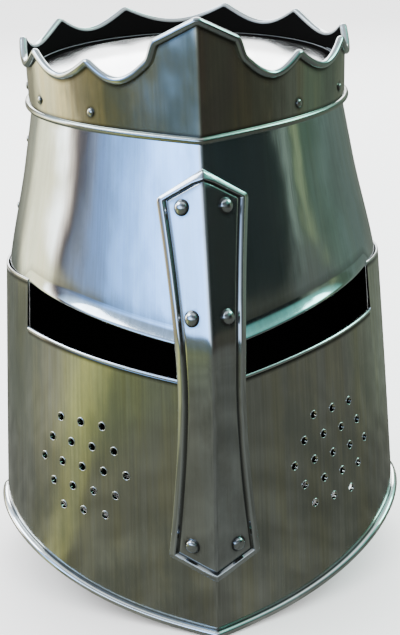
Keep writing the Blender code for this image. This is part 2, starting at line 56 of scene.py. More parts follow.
# Levels of each wall: height, half width, front, back, keel slope in degrees, keel share, cheek share
RIM = (0.0, 0.1242, 0.1235, 0.1250, 33.4, 0.475, 0.59)
CHEEK = (0.080, 0.1198, 0.1355, 0.1235, 34.4, 0.482, 0.58)
BROW = (0.200, 0.1125, 0.1375, 0.1215, 35.5, 0.489, 0.57)
SKULL = (0.200, 0.1078, 0.1395, 0.1177, 35.5, 0.489, 0.57)
SEAM = (0.2912, 0.0933, 0.1171, 0.1050, 32.6, 0.493, 0.52)
PEAKS = (0.3292, 0.0942, 0.1134, 0.1046, 32.6, 0.493, 0.52)
BACK_ROUNDNESS = 0.5523
KEEL_RADIUS = 0.0009
KEEL_BLEND = 0.006
MIDDLE = 0.012415
CROWN_LEAN = 0.060

SIDE_TOP = 0.203
NAPE_TOP = 0.206
SKULL_TOP = 0.3105
SKULL_BACK_LOW = 0.188
SLIT_LOWER_FRONT = 0.1568
SLIT_LOWER_SIDE = 0.1730
SLIT_UPPER_FRONT = 0.1794
SLIT_UPPER_SIDE = 0.2008
SLIT_CURVE = 1.5
SLIT_END_TURN = 0.71
FRONT_PLATE_END = 1.16
BACK_PLATE_START = 0.98
RIM_ARCH = 0.043
RIM_LEVEL_TURN = 1.45
ROLL_RADIUS = 0.00246
SLIT_LIP_RADIUS = 0.0011
FLANGE_REACH = 0.0026
FLANGE_DEPTH = 0.0070
FLANGE_FADE = 0.30
SKULL_TUCK = 0.010
SIDE_DROP = 0.0050
SIDE_FALL = 0.0030
SIDE_SWELL = 0.0020

SCALLOP = 0.0100
CROWN_LIP_RADIUS = 0.0022
BEAD_RADIUS = 0.0020
PLATE_EDGE = 0.3085
PLATE_SKIRT = 0.0120
PLATE_DOME = 0.0120
CROWN_EDGE = (
    (0.000, 0.0635, 0.0),
    (0.175, 0.0510, 0.0),
    (0.198, 0.0415, 1.0),
    (0.460, 0.0380, 1.0),
    (0.763, 0.0380, 1.0),
    (1.020, 0.0380, 1.0),
    (1.420, 0.0380, 1.0),
    (1.780, 0.0380, 1.0),
    (2.220, 0.0380, 0.0),
)

BAR_TOP = 0.2764
BAR_TOP_CORNER = 0.2590
BAR_BOTTOM = 0.0388
BAR_BOTTOM_CORNER = 0.0500
BAR_TOP_HALF = 0.0240
BAR_WAIST_HALF = 0.0175
BAR_BOTTOM_HALF = 0.0253
BAR_WAIST_SHARE = 0.50
BAR_CURVE = 1.6
BAR_CORNER = 0.0040
BAR_CLEARANCE = 3 * GAP
BEND_SOFTNESS = 0.009
BORDER_WIDTH = 0.0046
BORDER_HEIGHT = 0.0016
BAR_RIVETS = ((0.061, 0.473), (0.327, 0.454), (0.932, 0.500))
BREATH_RADIUS = 0.0022
BREATH_LIP = 0.0005
BREATH_ROWS = (3, 4, 5, 4, 3)
BREATH_HEIGHT = 0.0950
BREATH_DISTANCE = 0.0855
BREATH_ROW_GAP = 0.01375
BREATH_SPACING = 0.0150

SIDE_RIVET_TURN = 1.08
NAPE_RIVET_TURN = 1.85
CROWN_RIVET_RISE = 0.0085
SMALL_HEAD = 0.0022
PAINTED_SHADE_REACH = 0.002
ROLL_FACE = 1.95

# Millimetres in from the bar's outline at which its face has a line of points, closest on the border
BAR_LINES = (0, 0.05, 0.15, 0.3, 0.5, 0.8, 1.1, 1.6, 2.2, 2.8)
BAR_LINES += (3.3, 3.6, 3.9, 4.15, 4.4, 4.7, 5.0, 5.4, 5.9, 6.5)


def between(levels, height):
    """Straight through two levels, a parabola through three: the six sizes of the wall's outline there."""
    height = np.asarray(height, float)
    sizes = 0
    for this in levels:
        share = np.ones_like(height)
        for other in levels:
            if other is not this:
                share = share * (height - other[0]) / (this[0] - other[0])
        sizes = sizes + share * np.array(this[1:]).reshape((6,) + (1,) * height.ndim)
    return sizes


def quarter(corners, share):
    """A cubic Bezier coordinate and its slope: the four corners weighted by powers of share and 1 - share."""
    a, b, c, d = corners
    rest = 1 - share
    value = a * rest**3 + 3 * b * rest**2 * share + 3 * c * rest * share**2 + d * share**3
    slope = (b - a) * rest**2 + 2 * (c - b) * rest * share + (d - c) * share**2
    return value, slope


def ease(value):
    """0 up to 0, 1 from 1, 3v^2 - 2v^3 between."""
    value = np.clip(value, 0, 1)
    return value * value * (3 - 2 * value)


def plan(sizes, turn):
    """x, y and the way out of an outline: one Bezier quarter from keel to side, one from side to back.

    The way out is the normal, mitred at the keel, and the keel itself is rounded by sqrt(x^2 + r^2) - x.
    """
    wide, front, back, slope, keel, cheek = sizes
    slope = np.radians(slope)
    side = np.where(turn < 0, -1.0, 1.0)
    turn = np.abs(turn)
    reach = keel * wide
    zero = 0 * wide
    share = np.where(turn > 1, turn - 1, turn)
    arm = BACK_ROUNDNESS
    front_x, front_dx = quarter((zero, reach * np.cos(slope), wide, wide), share)
    front_y, front_dy = quarter((-front, -front + reach * np.sin(slope), -cheek * front, zero), share)
    back_x, back_dx = quarter((wide, wide, arm * wide, zero), share)
    back_y, back_dy = quarter((zero, arm * back, back, back), share)
    rear = turn > 1
    x, y = np.where(rear, back_x, front_x), np.where(rear, back_y, front_y)
    dx, dy = np.where(rear, back_dx, front_dx), np.where(rear, back_dy, front_dy)
    length = np.hypot(dx, dy)
    dx, dy = dx / length, dy / length
    mitre = np.where(rear, 0.0, np.tan(slope) * (1 - ease(x / KEEL_BLEND)))
    y = y + np.where(rear, 0.0, np.tan(slope) * (np.sqrt(x * x + KEEL_RADIUS**2) - x))
    return side * x, y, side * (dy - mitre * dx), -dx - mitre * dy


def lower_wall(turn, height):
    """The outline of the face and nape plates, through three levels."""
    return plan(between((RIM, CHEEK, BROW), height), turn)


def crown_wall(turn, height):
    """The outline of the crown band, through two levels."""
    return plan(between((SEAM, PEAKS), height), turn)


def inset(wall, depth):
    """A wall this far inside another, along its way out."""
    x, y, way_x, way_y = wall
    return x - way_x * depth, y - way_y * depth, way_x, way_y


def skull_wall(turn, height):
    """A straight ruling from the brow's outline to the seam, and one lap inside the crown above it."""
    turn, height = np.broadcast_arrays(turn, np.asarray(height, float))
    low = plan(np.array(SKULL[1:]).reshape((6,) + (1,) * turn.ndim), turn)
    high = inset(crown_wall(turn, np.maximum(height, SEAM[0])), LAP)
    share = np.minimum((height - SKULL[0]) / (SEAM[0] - SKULL[0]), 1)
    return tuple(a + (b - a) * share for a, b in zip(low, high))


def lean(depth, height):
    """How far the crown's lean lifts a point: by its depth, growing from the brow to the seam."""
    share = np.clip((height - SLIT_UPPER_SIDE) / (SEAM[0] - SLIT_UPPER_SIDE), 0, 1)
    return CROWN_LEAN * depth * share


def place(wall, turn, height, out=0.0):
    """Points at these turns and heights, this far out of the wall."""
    turn, height, out = np.broadcast_arrays(turn, height, out)
    x, y, way_x, way_y = wall(turn, height)
    x, y = x + way_x * out, y + way_y * out
    return np.stack([x, y + MIDDLE, height + lean(y, height)], axis=-1)


def unit(vectors):
    """Each vector over its own length."""
    return vectors / np.linalg.norm(vectors, axis=-1, keepdims=True)


def way_out(wall, turn, height):
    """Unit vector square to the wall: the cross product of its two directions."""
    step = 0.002
    along = place(wall, turn + step, height) - place(wall, turn - step, height)
    up = place(wall, turn, height + step) - place(wall, turn, height - step)
    return unit(np.cross(along, up))


def side_share(turn):
    """How far out this turn is, from 0 at the keel to 1 at the side."""
    return np.abs(lower_wall(np.minimum(np.abs(turn), 1), BROW[0])[0]) / BROW[1]


def slit_lower(turn):
    """The slit's lower edge, rising with the side share to the power 1.5."""
    return SLIT_LOWER_FRONT + (SLIT_LOWER_SIDE - SLIT_LOWER_FRONT) * side_share(turn) ** SLIT_CURVE


def slit_upper(turn):
    """The slit's upper edge, rising the same way."""
    return SLIT_UPPER_FRONT + (SLIT_UPPER_SIDE - SLIT_UPPER_FRONT) * side_share(turn) ** SLIT_CURVE


def rim_height(turn):
    """Lowest at the chin, rising with the square of the side share, and easing down to level at the back."""
    turn = np.abs(turn)
    behind = RIM_ARCH * (1 - ease((turn - 1) / (RIM_LEVEL_TURN - 1)))
    return np.where(turn > 1, behind, RIM_ARCH * side_share(turn) ** 2)


def crown_rise(turn):
    """The crown edge above the seam: straight between its corners, less a half wave, then softened.

    The softening is a running mean of five samples, so that the lip can be carried round the corners.
    """
    spread = np.linspace(-0.006, 0.006, 5)
    starts = np.array([row[0] for row in CROWN_EDGE])
    rises = np.array([row[1] for row in CROWN_EDGE])
    sags = np.array([row[2] for row in CROWN_EDGE])
    total = 0
    for shift in spread:
        here = np.abs(turn + shift)
        here = np.where(here > 2, 4 - here, here)
        index = np.clip(np.searchsorted(starts, here, side="right") - 1, 0, len(starts) - 2)
        share = (here - starts[index]) / (starts[index + 1] - starts[index])
        line = rises[index] + (rises[index + 1] - rises[index]) * share
        total = total + line - sags[index] * SCALLOP * np.sin(np.pi * share)
    return total / len(spread)


def grid_faces(rows, columns, around_rows, around_columns):
    """Corner numbers of the quads of a grid that may close on itself either way."""
    row = np.arange(rows if around_rows else rows - 1)[:, None]
    column = np.arange(columns if around_columns else columns - 1)[None, :]
    next_row, next_column = (row + 1) % rows, (column + 1) % columns
    quads = [row * columns + column, next_row * columns + column]
    quads += [next_row * columns + next_column, row * columns + next_column]
    return np.stack(np.broadcast_arrays(*quads), axis=-1).reshape(-1, 4)


def end_caps(rows, columns, start=0):
    """The first and last rows of a grid as two faces that turn the same way as its quads."""
    last = start + (rows - 1) * columns
    return [tuple(range(start, start + columns)), tuple(range(last, last + columns))[::-1]]


def linked(name, data):
    """A new object of the scene."""
    made = bpy.data.objects.new(name, data)
    bpy.context.scene.collection.objects.link(made)
    return made


def solid_piece(name, points, quads, caps, uv, masks, material, sharp=40, period=0.0):
    """A closed mesh from points, quads and end caps, turned so that its signed volume is positive.

    Where a piece runs round on itself, its last strip adds the period to the coordinates past the end.
    """
    corners = points[quads]
    volume = np.einsum("ij,ij->i", corners[:, 0], np.cross(corners[:, 1], corners[:, 2]))
    volume = volume + np.einsum("ij,ij->i", corners[:, 0], np.cross(corners[:, 2], corners[:, 3]))
    faces = [tuple(quad) for quad in quads.tolist()] + caps
    if volume.sum() < 0:
        faces = [face[::-1] for face in faces]
    mesh = bpy.data.meshes.new(name)
    mesh.from_pydata(points.tolist(), [], faces)
    layer = mesh.uv_layers.new(name="surface")
    corner_points = np.empty(len(mesh.loops), np.int32)
    mesh.loops.foreach_get("vertex_index", corner_points)
    corner_uv = uv[corner_points].astype(np.float32)
    if period:
        along = corner_uv[: 4 * len(quads), 0].reshape(-1, 4)
        past = along < along.max(axis=1, keepdims=True) - period / 2
        corner_uv[: 4 * len(quads), 0] = (along + period * past).ravel()
    layer.data.foreach_set("uv", corner_uv.ravel())
    for mask, values in zip(MASKS, masks):
        attribute = mesh.attributes.new(mask, "FLOAT", "POINT")
        attribute.data.foreach_set("value", values.astype(np.float32).ravel())
    mesh.shade_smooth()
    mesh.set_sharp_from_angle(angle=math.radians(sharp))
    mesh.materials.append(material)
    piece = linked(name, mesh)
    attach(piece, "root")
    return piece


def merged(piece, distance=1e-6):
    """Joins the coincident points of poles and folded edges."""
    shape = bmesh.new()
    shape.from_mesh(piece.data)
    bmesh.ops.remove_doubles(shape, verts=shape.verts, dist=distance)
    shape.to_mesh(piece.data)
    shape.free()
    return piece


def plate(name, wall, turns, profile, material, marks=None, around=False):
    """A profile (out, height, wear, inside, painted shadow) carried along the turns of a wall, closed at its
    ends; the last is painted shade in creases and under lips.
    """
    out, height, wear, inside, painted_shadow = np.broadcast_arrays(*profile(turns[:, None]))
    rows, columns = out.shape
    points = place(wall, turns[:, None], height, out)
    middle = place(wall, turns, float(height.mean()))
    steps = np.linalg.norm(np.diff(middle, axis=0), axis=1)
    along = np.concatenate([[0], np.cumsum(steps)])
    along = along - np.interp(0.0, turns, along)
    uv = np.stack([np.broadcast_to(along[:, None], out.shape), points[..., 2]], axis=-1)
    quads = grid_faces(rows, columns, around, True)
    caps = [] if around else end_caps(rows, columns)
    flat = points.reshape(-1, 3)
    painted_shade = near(flat, marks) if marks is not None else np.zeros(len(flat))
    masks = (wear.ravel(), inside.ravel(), np.maximum(painted_shade, painted_shadow.ravel()))
    period = (along[-1] - along[0]) * rows / (rows - 1) if around else 0.0
    return solid_piece(name, flat, quads, caps, uv.reshape(-1, 2), masks, material, period=period)


def near(points, marks):
    """Painted shade round rivets, a painted contact shadow: 1 against each mark's radius, fading to 0 over 2
    mm.
    """
    painted_shade = np.zeros(len(points))
    for centre, radius in marks:
        distance = np.linalg.norm(points - centre, axis=1)
        painted_shade = np.maximum(painted_shade, np.clip(1 - (distance - radius) / PAINTED_SHADE_REACH, 0, 1))
    return painted_shade


def arc(centre_out, centre_height, radius, start, end, count):
    """Points of an arc, its angles in degrees from straight out."""
    angles = np.radians(np.linspace(start, end, count))
    return [(centre_out + radius * np.cos(a), centre_height + radius * np.sin(a)) for a in angles]


def stack(points, wear, inside, painted_shadow):
    """Columns of a profile as five arrays: out, height, wear, inside and painted shadow (painted shade in
    creases).
    """
    shape = np.broadcast_shapes(*(np.shape(v) for point in points for v in point))
    out = np.concatenate([np.broadcast_to(p[0], shape) for p in points], axis=-1)
    height = np.concatenate([np.broadcast_to(p[1], shape) for p in points], axis=-1)
    return out, height, *(np.array(mask, float)[None, :] for mask in (wear, inside, painted_shadow))


def run(low_out, low, high_out, high, count, power=1.0):
    """Evenly spaced points down a sheet between two heights."""
    shares = np.linspace(0, 1, count) ** power
    return [(low_out + (high_out - low_out) * s, low + (high - low) * s) for s in shares]


def side_top(turn):
    """Top edge of the face plate behind the slit, falling a little towards the back."""
    return SIDE_TOP - SIDE_DROP - SIDE_FALL * ease((np.abs(turn) - SLIT_END_TURN) / 0.4)


def side_swell(turn, height):
    """How far the skull swells at its sides to meet the face plate: eased in along it and out above it."""
    turn = np.abs(turn)
    along = ease((turn - 0.42) / 0.25) * (1 - ease((turn - 1.2) / 0.4))
    return SIDE_SWELL * along * (1 - ease((height - SKULL[0]) / 0.055))


def face_profile(turn):
    """Slit lip or plain edge, outer face down, rolled rim, inner face up."""
    under = np.abs(turn) < SLIT_END_TURN
    top = np.where(under, slit_lower(turn), side_top(turn))
    base = rim_height(turn)
    radius = np.where(under, SLIT_LIP_RADIUS, WALL / 2)
    lip = arc(radius - WALL, top - radius, radius, 180, -70, 11)
    meet = math.degrees(math.acos((WALL - ROLL_RADIUS) / ROLL_RADIUS))
    roll = arc(ROLL_RADIUS - WALL, base + ROLL_RADIUS, ROLL_RADIUS, meet, -180, 17)
    beside = [(0, top - 2 * radius - step) for step in (0.0002, 0.0010, 0.0018, 0.0028)]
    above = [(0, base + ROLL_RADIUS * ROLL_FACE + step) for step in (0.0024, 0.0014, 0.0006)]
    outer = run(0, top - 2 * radius - 0.004, 0, base + ROLL_RADIUS * ROLL_FACE + 0.0036, 26)
    inner = run(-WALL, base + 2 * ROLL_RADIUS, -WALL, top - 2 * radius, 12)
    wear = [0.3] + [1] * 9 + [0.7] + [0] * 33 + [1] * 15 + [0.2] * 2 + [0] * 12
    inside = [1] * 3 + [0] * 8 + [0] * 33 + [0] * 13 + [1] * 4 + [1] * 12
    # Painted shade under the slit lip and in the crease above the rolled rim
    painted_shadow = [0] * 9 + [0.3, 0.9] + [1, 0.9, 0.4, 0] + [0] * 26 + [0, 0.35, 0.9] + [0.9, 0.2] + [0] * 27
    return stack(lip + beside + outer + above + roll + inner, wear, inside, painted_shadow)


def nape_top(turn):
    """Top edge of the nape plate: level with the face plate at the lap, then eased up to its own height."""
    low = side_top(np.minimum(np.abs(turn), FRONT_PLATE_END)) + 0.0004
    return low + (NAPE_TOP - low) * ease((np.abs(turn) - FRONT_PLATE_END) / 0.45)


def nape_profile(turn):
    """The nape plate, one lap in: plain top edge, outer face, rolled rim where clear, inner face."""
    base = rim_height(turn)
    clear = np.abs(turn) > FRONT_PLATE_END + 0.01
    radius = np.where(clear, ROLL_RADIUS, WALL / 2)
    high = nape_top(turn)
    top = arc(-LAP - WALL / 2, high - WALL / 2, WALL / 2, 180, 0, 7)
    meet = np.degrees(np.arccos(np.clip((WALL - radius) / radius, -1, 1)))
    angles = [np.radians(meet + (-180 - meet) * share) for share in np.linspace(0, 1, 17)]
    centre = radius - WALL - LAP
    roll = [(centre + radius * np.cos(a), base + radius + radius * np.sin(a)) for a in angles]
    above = [(-LAP, base + ROLL_FACE * radius + step) for step in (0.0024, 0.0014, 0.0006)]
    outer = run(-LAP, high - WALL, -LAP, base + ROLL_FACE * radius + 0.0036, 18)
    inner = run(-LAP - WALL, base + 2 * radius, -LAP - WALL, high - WALL, 10)
    wear = [0.2, 0.8, 1, 1, 1, 0.8, 0.5] + [0] * 21 + [1] * 15 + [0.2] * 2 + [0] * 10
    inside = [1] * 3 + [0] * 4 + [0] * 21 + [0] * 13 + [1] * 4 + [1] * 10
    # Painted shade in the crease above the rolled rim
    painted_shadow = [0] * 25 + [0, 0.35, 0.9] + [0.9, 0.2] + [0] * 25
    return stack(top + outer + above + roll + inner, wear, inside, painted_shadow)


def skull_profile(turn):
    """Outer face from inside the crown down to the flared edge above the slit, and the inner face."""
    beside = np.abs(turn) - SLIT_END_TURN
    flare = FLANGE_REACH * (1 - ease(beside / FLANGE_FADE + 1))
    low = slit_upper(turn) - SKULL_TUCK * ease(beside / 0.08)
    shares = np.array([0, 0.12, 0.25, 0.4, 0.55, 0.7, 0.85, 1.0])
    flange = [(flare * s**1.6, low + FLANGE_DEPTH * (1 - s)) for s in shares]
    outer = run(0, SKULL_TOP, 0, low + FLANGE_DEPTH * 1.15, 30)
    edge = arc(flare - WALL / 2, low, WALL / 2, -20, -160, 6)
    back = [(out - WALL, height) for out, height in reversed(flange)]
    inner = run(-WALL, low + FLANGE_DEPTH * 1.3, -WALL, SKULL_TOP, 12)
    points = outer + flange + edge + back + inner
    points = [(out + side_swell(turn, height), height) for out, height in points]
    wear = [0] * 30 + [0.4, 0.1, 0, 0, 0, 0.1, 0.4, 0.9] + [1] * 6 + [0.3] * 8 + [0] * 12
    inside = [0] * 30 + [0] * 8 + [0, 0, 0, 0.5, 1, 1] + [1] * 8 + [1] * 12
    # Painted shade where the sheet bends out into the flare
    painted_shadow = [0] * 29 + [0.3, 0.5, 0.1] + [0] * 32
    return stack(points, wear, inside, painted_shadow)


def skull_back_profile(turn):
    """The rear skull plate, one lap in."""
    outer = run(-LAP, SKULL_TOP, -LAP, SKULL_BACK_LOW + 0.001, 24)
    edge = arc(-LAP - WALL / 2, SKULL_BACK_LOW + WALL / 2, WALL / 2, -10, -170, 5)
    inner = run(-LAP - WALL, SKULL_BACK_LOW + 0.001, -LAP - WALL, SKULL_TOP, 12)
    points = [(out + side_swell(turn, height), height) for out, height in outer + edge + inner]
    return stack(points, [0] * 24 + [0.6] * 5 + [0] * 12, [0] * 24 + [0.5] * 5 + [1] * 12, [0] * 41)


def crown_profile(turn):
    """The crown band from its lower edge up the inside, over into the lip, and down the outside."""
    top = SEAM[0] + crown_rise(turn) - CROWN_LIP_RADIUS
    base = SEAM[0] + BEAD_RADIUS * 0.8
    inner = run(-WALL, base, -WALL, top, 12)
    under = [(0, top - step) for step in (0, 0.0016, 0.0024, 0.0032, 0.0042)]
    outer = run(0, top - 0.0056, 0, base + 0.0022, 22)
    foot = [(0, base + step) for step in (0.0012, 0.0005, 0)]
    # Painted shade under the lip and down against the bead
    painted_shadow = [0] * 12 + [1, 1, 1, 0.8, 0.25] + [0] * 22 + [0.4, 1, 1]
    return stack(inner + under + outer + foot, [0] * 42, [1] * 12 + [0] * 30, painted_shadow)


def tube(name, path, outward, radius, material, sides=14, wear=1.0):
    """A round rod along a closed path: its frame is the path's direction, the way out, their cross."""
    ahead = unit(np.roll(path, -1, axis=0) - np.roll(path, 1, axis=0))
    side = unit(outward - ahead * (outward * ahead).sum(1, keepdims=True))
    up = np.cross(side, ahead)
    angles = np.arange(sides) * math.tau / sides
    cosine, sine = np.cos(angles)[None, :, None], np.sin(angles)[None, :, None]
    points = path[:, None] + radius * (side[:, None] * cosine + up[:, None] * sine)
    steps = np.linalg.norm(np.diff(path, axis=0), axis=1)
    along = np.concatenate([[0], np.cumsum(steps)])
    uv = np.stack(np.broadcast_arrays(along[:, None], (angles * radius)[None, :]), axis=-1)
    facing = np.broadcast_to(np.cos(angles)[None, :], points.shape[:2])
    # The side facing into the helmet gets the near-black inner colour, partly painted shade
    masks = (np.full(facing.size, wear), np.clip(-facing * 1.5 - 0.9, 0, 1).ravel(), np.zeros(facing.size))
    quads = grid_faces(len(path), sides, True, True)
    period = along[-1] * len(path) / (len(path) - 1)
    return solid_piece(name, points.reshape(-1, 3), quads, [], uv.reshape(-1, 2), masks, material, 80, period)


def bar_wall(turn, height):
    """What the bar lies on: the skull above the slit, the face plate below it, a straight bridge between."""
    low = lower_wall(turn, np.minimum(height, SLIT_LOWER_FRONT))
    high = skull_wall(turn, np.maximum(height, SLIT_UPPER_FRONT))
    share = np.clip((height - SLIT_LOWER_FRONT) / (SLIT_UPPER_FRONT - SLIT_LOWER_FRONT), 0, 1)
    return tuple(a + (b - a) * share for a, b in zip(low, high))


def bar_bend(height):
    """Depth of the bar's back at the keel: down the skull, over its flared edge, and in to the cheeks."""
    mitre = 1 / math.cos(math.radians(SKULL[4]))
    keel = 0 * height
    rounding = math.tan(math.radians(SKULL[4])) * KEEL_RADIUS
    high = rounding - skull_wall(keel, BAR_TOP + keel)[1] + 2 * GAP * mitre
    edge = rounding - skull_wall(keel, SLIT_UPPER_FRONT + keel)[1] + (FLANGE_REACH + BAR_CLEARANCE) * mitre
    above = high + (edge - high) * (BAR_TOP - height) / (BAR_TOP - SLIT_UPPER_FRONT)
    slit = rounding - lower_wall(keel, SLIT_LOWER_FRONT + keel)[1]
    face = rounding - lower_wall(keel, np.minimum(height, SLIT_LOWER_FRONT))[1] + GAP * mitre
    below = face + (edge - slit - GAP * mitre) * ease((height - CHEEK[0]) / (SLIT_UPPER_FRONT - CHEEK[0]))
    return np.where(height > SLIT_UPPER_FRONT, above, below)


def bar_depth(height):
    """The bend above, softened by a mean over 9 mm either way near the slit and left as it is at the ends."""
    height = np.asarray(height, float)
    reach = BEND_SOFTNESS * np.clip(np.minimum(BAR_TOP - height, height - CHEEK[0]) / BEND_SOFTNESS, 0, 1)
    return sum(bar_bend(height + reach * shift) for shift in np.linspace(-1, 1, 9)) / 9


def bar_half_width(share):
    """Narrow at the waist and wider with the distance from it to the power 1.6, with round corners."""
    above = np.clip(1 - share / BAR_WAIST_SHARE, 0, 1) ** BAR_CURVE
    below = np.clip((share - BAR_WAIST_SHARE) / (1 - BAR_WAIST_SHARE), 0, 1) ** BAR_CURVE
    length = BAR_TOP_CORNER - BAR_BOTTOM_CORNER
    short = np.clip(1 - np.minimum(share, 1 - share) * length / BAR_CORNER, 0, 1)
    corner = BAR_CORNER * 0.55 * (1 - np.sqrt(1 - short**2))
    waist = BAR_WAIST_HALF + (BAR_TOP_HALF - BAR_WAIST_HALF) * above
    return waist + (BAR_BOTTOM_HALF - BAR_WAIST_HALF) * below - corner


def bar_spot(share, across):
    """Height and half width on the bar, this share down its length and from the ridge to the edge."""
    edge_height = BAR_TOP_CORNER + (BAR_BOTTOM_CORNER - BAR_TOP_CORNER) * share
    ridge_height = BAR_TOP + (BAR_BOTTOM - BAR_TOP) * share
    return ridge_height + (edge_height - ridge_height) * np.abs(across), bar_half_width(share) * across


def turn_at_width(wall, height, half_width):
    """The turn at which the wall is this far from the middle plane, halving the range thirty times."""
    low, high = np.zeros_like(half_width), np.ones_like(half_width)
    for _ in range(30):
        middle = (low + high) / 2
        short = wall(middle, height)[0] < np.abs(half_width)
        low, high = np.where(short, middle, low), np.where(short, high, middle)
    return low * np.sign(half_width)


def bar_place(height, half_width, out):
    """Points on the bar at this distance from the middle plane, this far out of its back."""
    turn = turn_at_width(bar_wall, height, half_width)
    x, y, way_x, way_y = bar_wall(turn, height)
    keel_y = bar_wall(0 * turn, height)[1] - math.tan(math.radians(SKULL[4])) * KEEL_RADIUS
    x, y = x + way_x * out, y + way_y * out - (bar_depth(height) + keel_y)
    return np.stack([x, y + MIDDLE, height + lean(y, height)], axis=-1)


def bar_section(distance):
    """Height of the bar's face this far in from its outline: round edge, slope to a crest, groove."""
    top = WALL + BORDER_HEIGHT
    edge = np.sqrt(np.clip(1 - (1 - np.clip(distance / 0.0010, 0, 1)) ** 2, 0, 1))
    slope = 0.78 + 0.22 * ease(distance / 0.0034)
    fall = ease((distance - 0.0036) / 0.0011)
    groove = np.exp(-(((distance - BORDER_WIDTH - 0.0002) / 0.0006) ** 2))
    return top * edge * slope - BORDER_HEIGHT * fall - 0.0004 * groove


def nasal_bar(material, marks):
    """The bar as one pillow: its face from edge to edge and its back, folded together at the outline."""
    length = BAR_TOP_CORNER - BAR_BOTTOM_CORNER
    steps = np.array(BAR_LINES) / 1000
    ends = steps / length
    shares = np.concatenate([ends, np.linspace(ends[-1], 1 - ends[-1], 80)[1:-1], 1 - ends[::-1]])[:, None]
    half = bar_half_width(shares)
    edge = 1 - steps[None, :] / half
    inner = edge[:, -1:] * np.linspace(1, 0, 16)[None, 1:-1] ** 1.25
    right = np.concatenate([edge, inner], axis=1)
    across = np.concatenate([right, 0 * half, -right[:, ::-1]], axis=1)
    from_side = half * (1 - np.abs(across))
    from_end = np.minimum(shares, 1 - shares) * length * 0.93
    distance = np.maximum(np.minimum(from_side, from_end), 0)
    height, half_width = bar_spot(shares, across)
    face = bar_place(height, half_width, bar_section(distance))
    back = bar_place(height, half_width, 0 * height)[:, ::-1]
    points = np.concatenate([face, back], axis=1)
    rows, columns = points.shape[:2]
    uv = np.concatenate([half_width, half_width[:, ::-1]], axis=1)
    uv = np.stack([uv, points[..., 2]], axis=-1).reshape(-1, 2)
    border = (1 - ease((distance - 0.0037) / 0.0006)) * (0.35 + 0.65 * ease((distance - 0.0026) / 0.0008))
    # Painted shade in the groove inside the border and along the outer edge, where the bar's side meets the
    # sheet
    groove = np.exp(-(((distance - BORDER_WIDTH - 0.0001) / 0.00055) ** 2))
    groove = np.maximum(groove, 1 - ease((distance - 0.0002) / 0.0006))
    flat = points.reshape(-1, 3)
    wear, inside, painted_shadow = (
        np.concatenate(pair, axis=1).ravel()
        for pair in ((border, 0 * border), (0 * border, 0 * border + 1), (groove, 0 * groove))
    )
    masks = (wear, inside, np.maximum(painted_shadow, near(flat, marks)))
    quads, caps = grid_faces(rows, columns, False, True), end_caps(rows, columns)
    return merged(solid_piece("nose_bar", flat, quads, caps, uv, masks, material, sharp=60))


def top_disc(material):
    """A low dome, 1 - r^2 high, with a rounded shoulder and a skirt, and its inner face one wall below."""
    turns = np.concatenate([np.linspace(0, 2, 97), np.linspace(-2, 0, 97)[1:-1]])
    depth = -3 * LAP
    edge = place(crown_wall, turns, PLATE_EDGE, depth)
    foot = place(crown_wall, turns, PLATE_EDGE - PLATE_SKIRT, depth)
    centre = np.array([0, MIDDLE, PLATE_EDGE])
    shares = np.concatenate([np.linspace(0.002, 0.9, 20), np.linspace(0.92, 0.985, 6)])
    dome = centre + (edge[None] - centre) * shares[:, None, None]
    dome[..., 2] += PLATE_DOME * (1 - shares[:, None] ** 2)
    down = np.linspace(0.12, 1, 8)[:, None, None]
    skirt = edge[None] + (foot - edge)[None] * down
    outer = np.concatenate([dome, skirt])
    way = outer - centre
    way[..., 2] = 0
    way = way / np.maximum(np.linalg.norm(way, axis=-1, keepdims=True), 1e-9)
    shoulder = np.concatenate([ease((shares - 0.9) / 0.1), np.ones(8)])[:, None, None]
    inner = outer - WALL * (way * shoulder + np.array([0, 0, 1.0]) * (1 - shoulder))
    points = np.concatenate([outer, inner[::-1]])
    rows, columns = points.shape[:2]
    uv = points[..., :2].reshape(-1, 2)
    inside = np.concatenate([np.zeros(len(outer)), np.ones(len(inner))])[:, None] * np.ones(columns)
    none = np.zeros(rows * columns)
    masks = (none, inside.ravel(), none)
    quads, caps = grid_faces(rows, columns, False, True), end_caps(rows, columns)
    return solid_piece("top_disc", points.reshape(-1, 3), quads, caps, uv, masks, material)


def revolved(seats, across, up, angles, closed):
    """One profile turned about the way out at each seat: seat + up * way + across * spoke."""
    points, quads = [], []
    for index, (seat, way) in enumerate(seats):
        side = unit(np.cross(way, (0, 0, 1.0)))
        spokes = side * np.cos(angles)[:, None] + np.cross(way, side) * np.sin(angles)[:, None]
        points.append((seat + up[:, None, None] * way + across[:, None, None] * spokes).reshape(-1, 3))
        quads.append(grid_faces(len(up), len(angles), closed, True) + index * len(up) * len(angles))
    return np.concatenate(points), np.concatenate(quads)


def rivet_heads(name, seats, radius, height, material):
    """Domed heads: a superellipse turned about the way out, a thin flat ring at the foot as a painted contact
    shadow, and a plain shank behind.
    """
    tilts = np.linspace(0.02, math.pi / 2, 12)
    profile = [(radius * math.sin(a), height * math.cos(a) ** 0.8) for a in tilts]
    # The flat ring round the foot is all painted shade: a painted contact shadow round each head
    profile += [(radius * 1.02, -0.0001), (radius * 1.16, -0.00015), (radius * 1.18, -0.0003)]
    profile += [(radius * 0.5, -0.0003), (radius * 0.4, -0.0022), (0.0001, -0.0024)]
    across, up = np.array(profile).T
    columns = 28
    points, quads = revolved(seats, across, up, np.arange(columns) * math.tau / columns, False)
    caps = []
    for start in range(0, len(points), len(up) * columns):
        caps += end_caps(len(up), columns, start)
    high = np.tile(np.repeat(np.clip(up / height, 0, 1), columns), len(seats))
    # Worn brighter towards the top; painted shade darkening towards the foot, full on the ring and shank
    masks = (high, 0 * high, (1 - high) ** 3)
    return solid_piece(name, points, quads, caps, points[:, [0, 2]], masks, material, sharp=60)


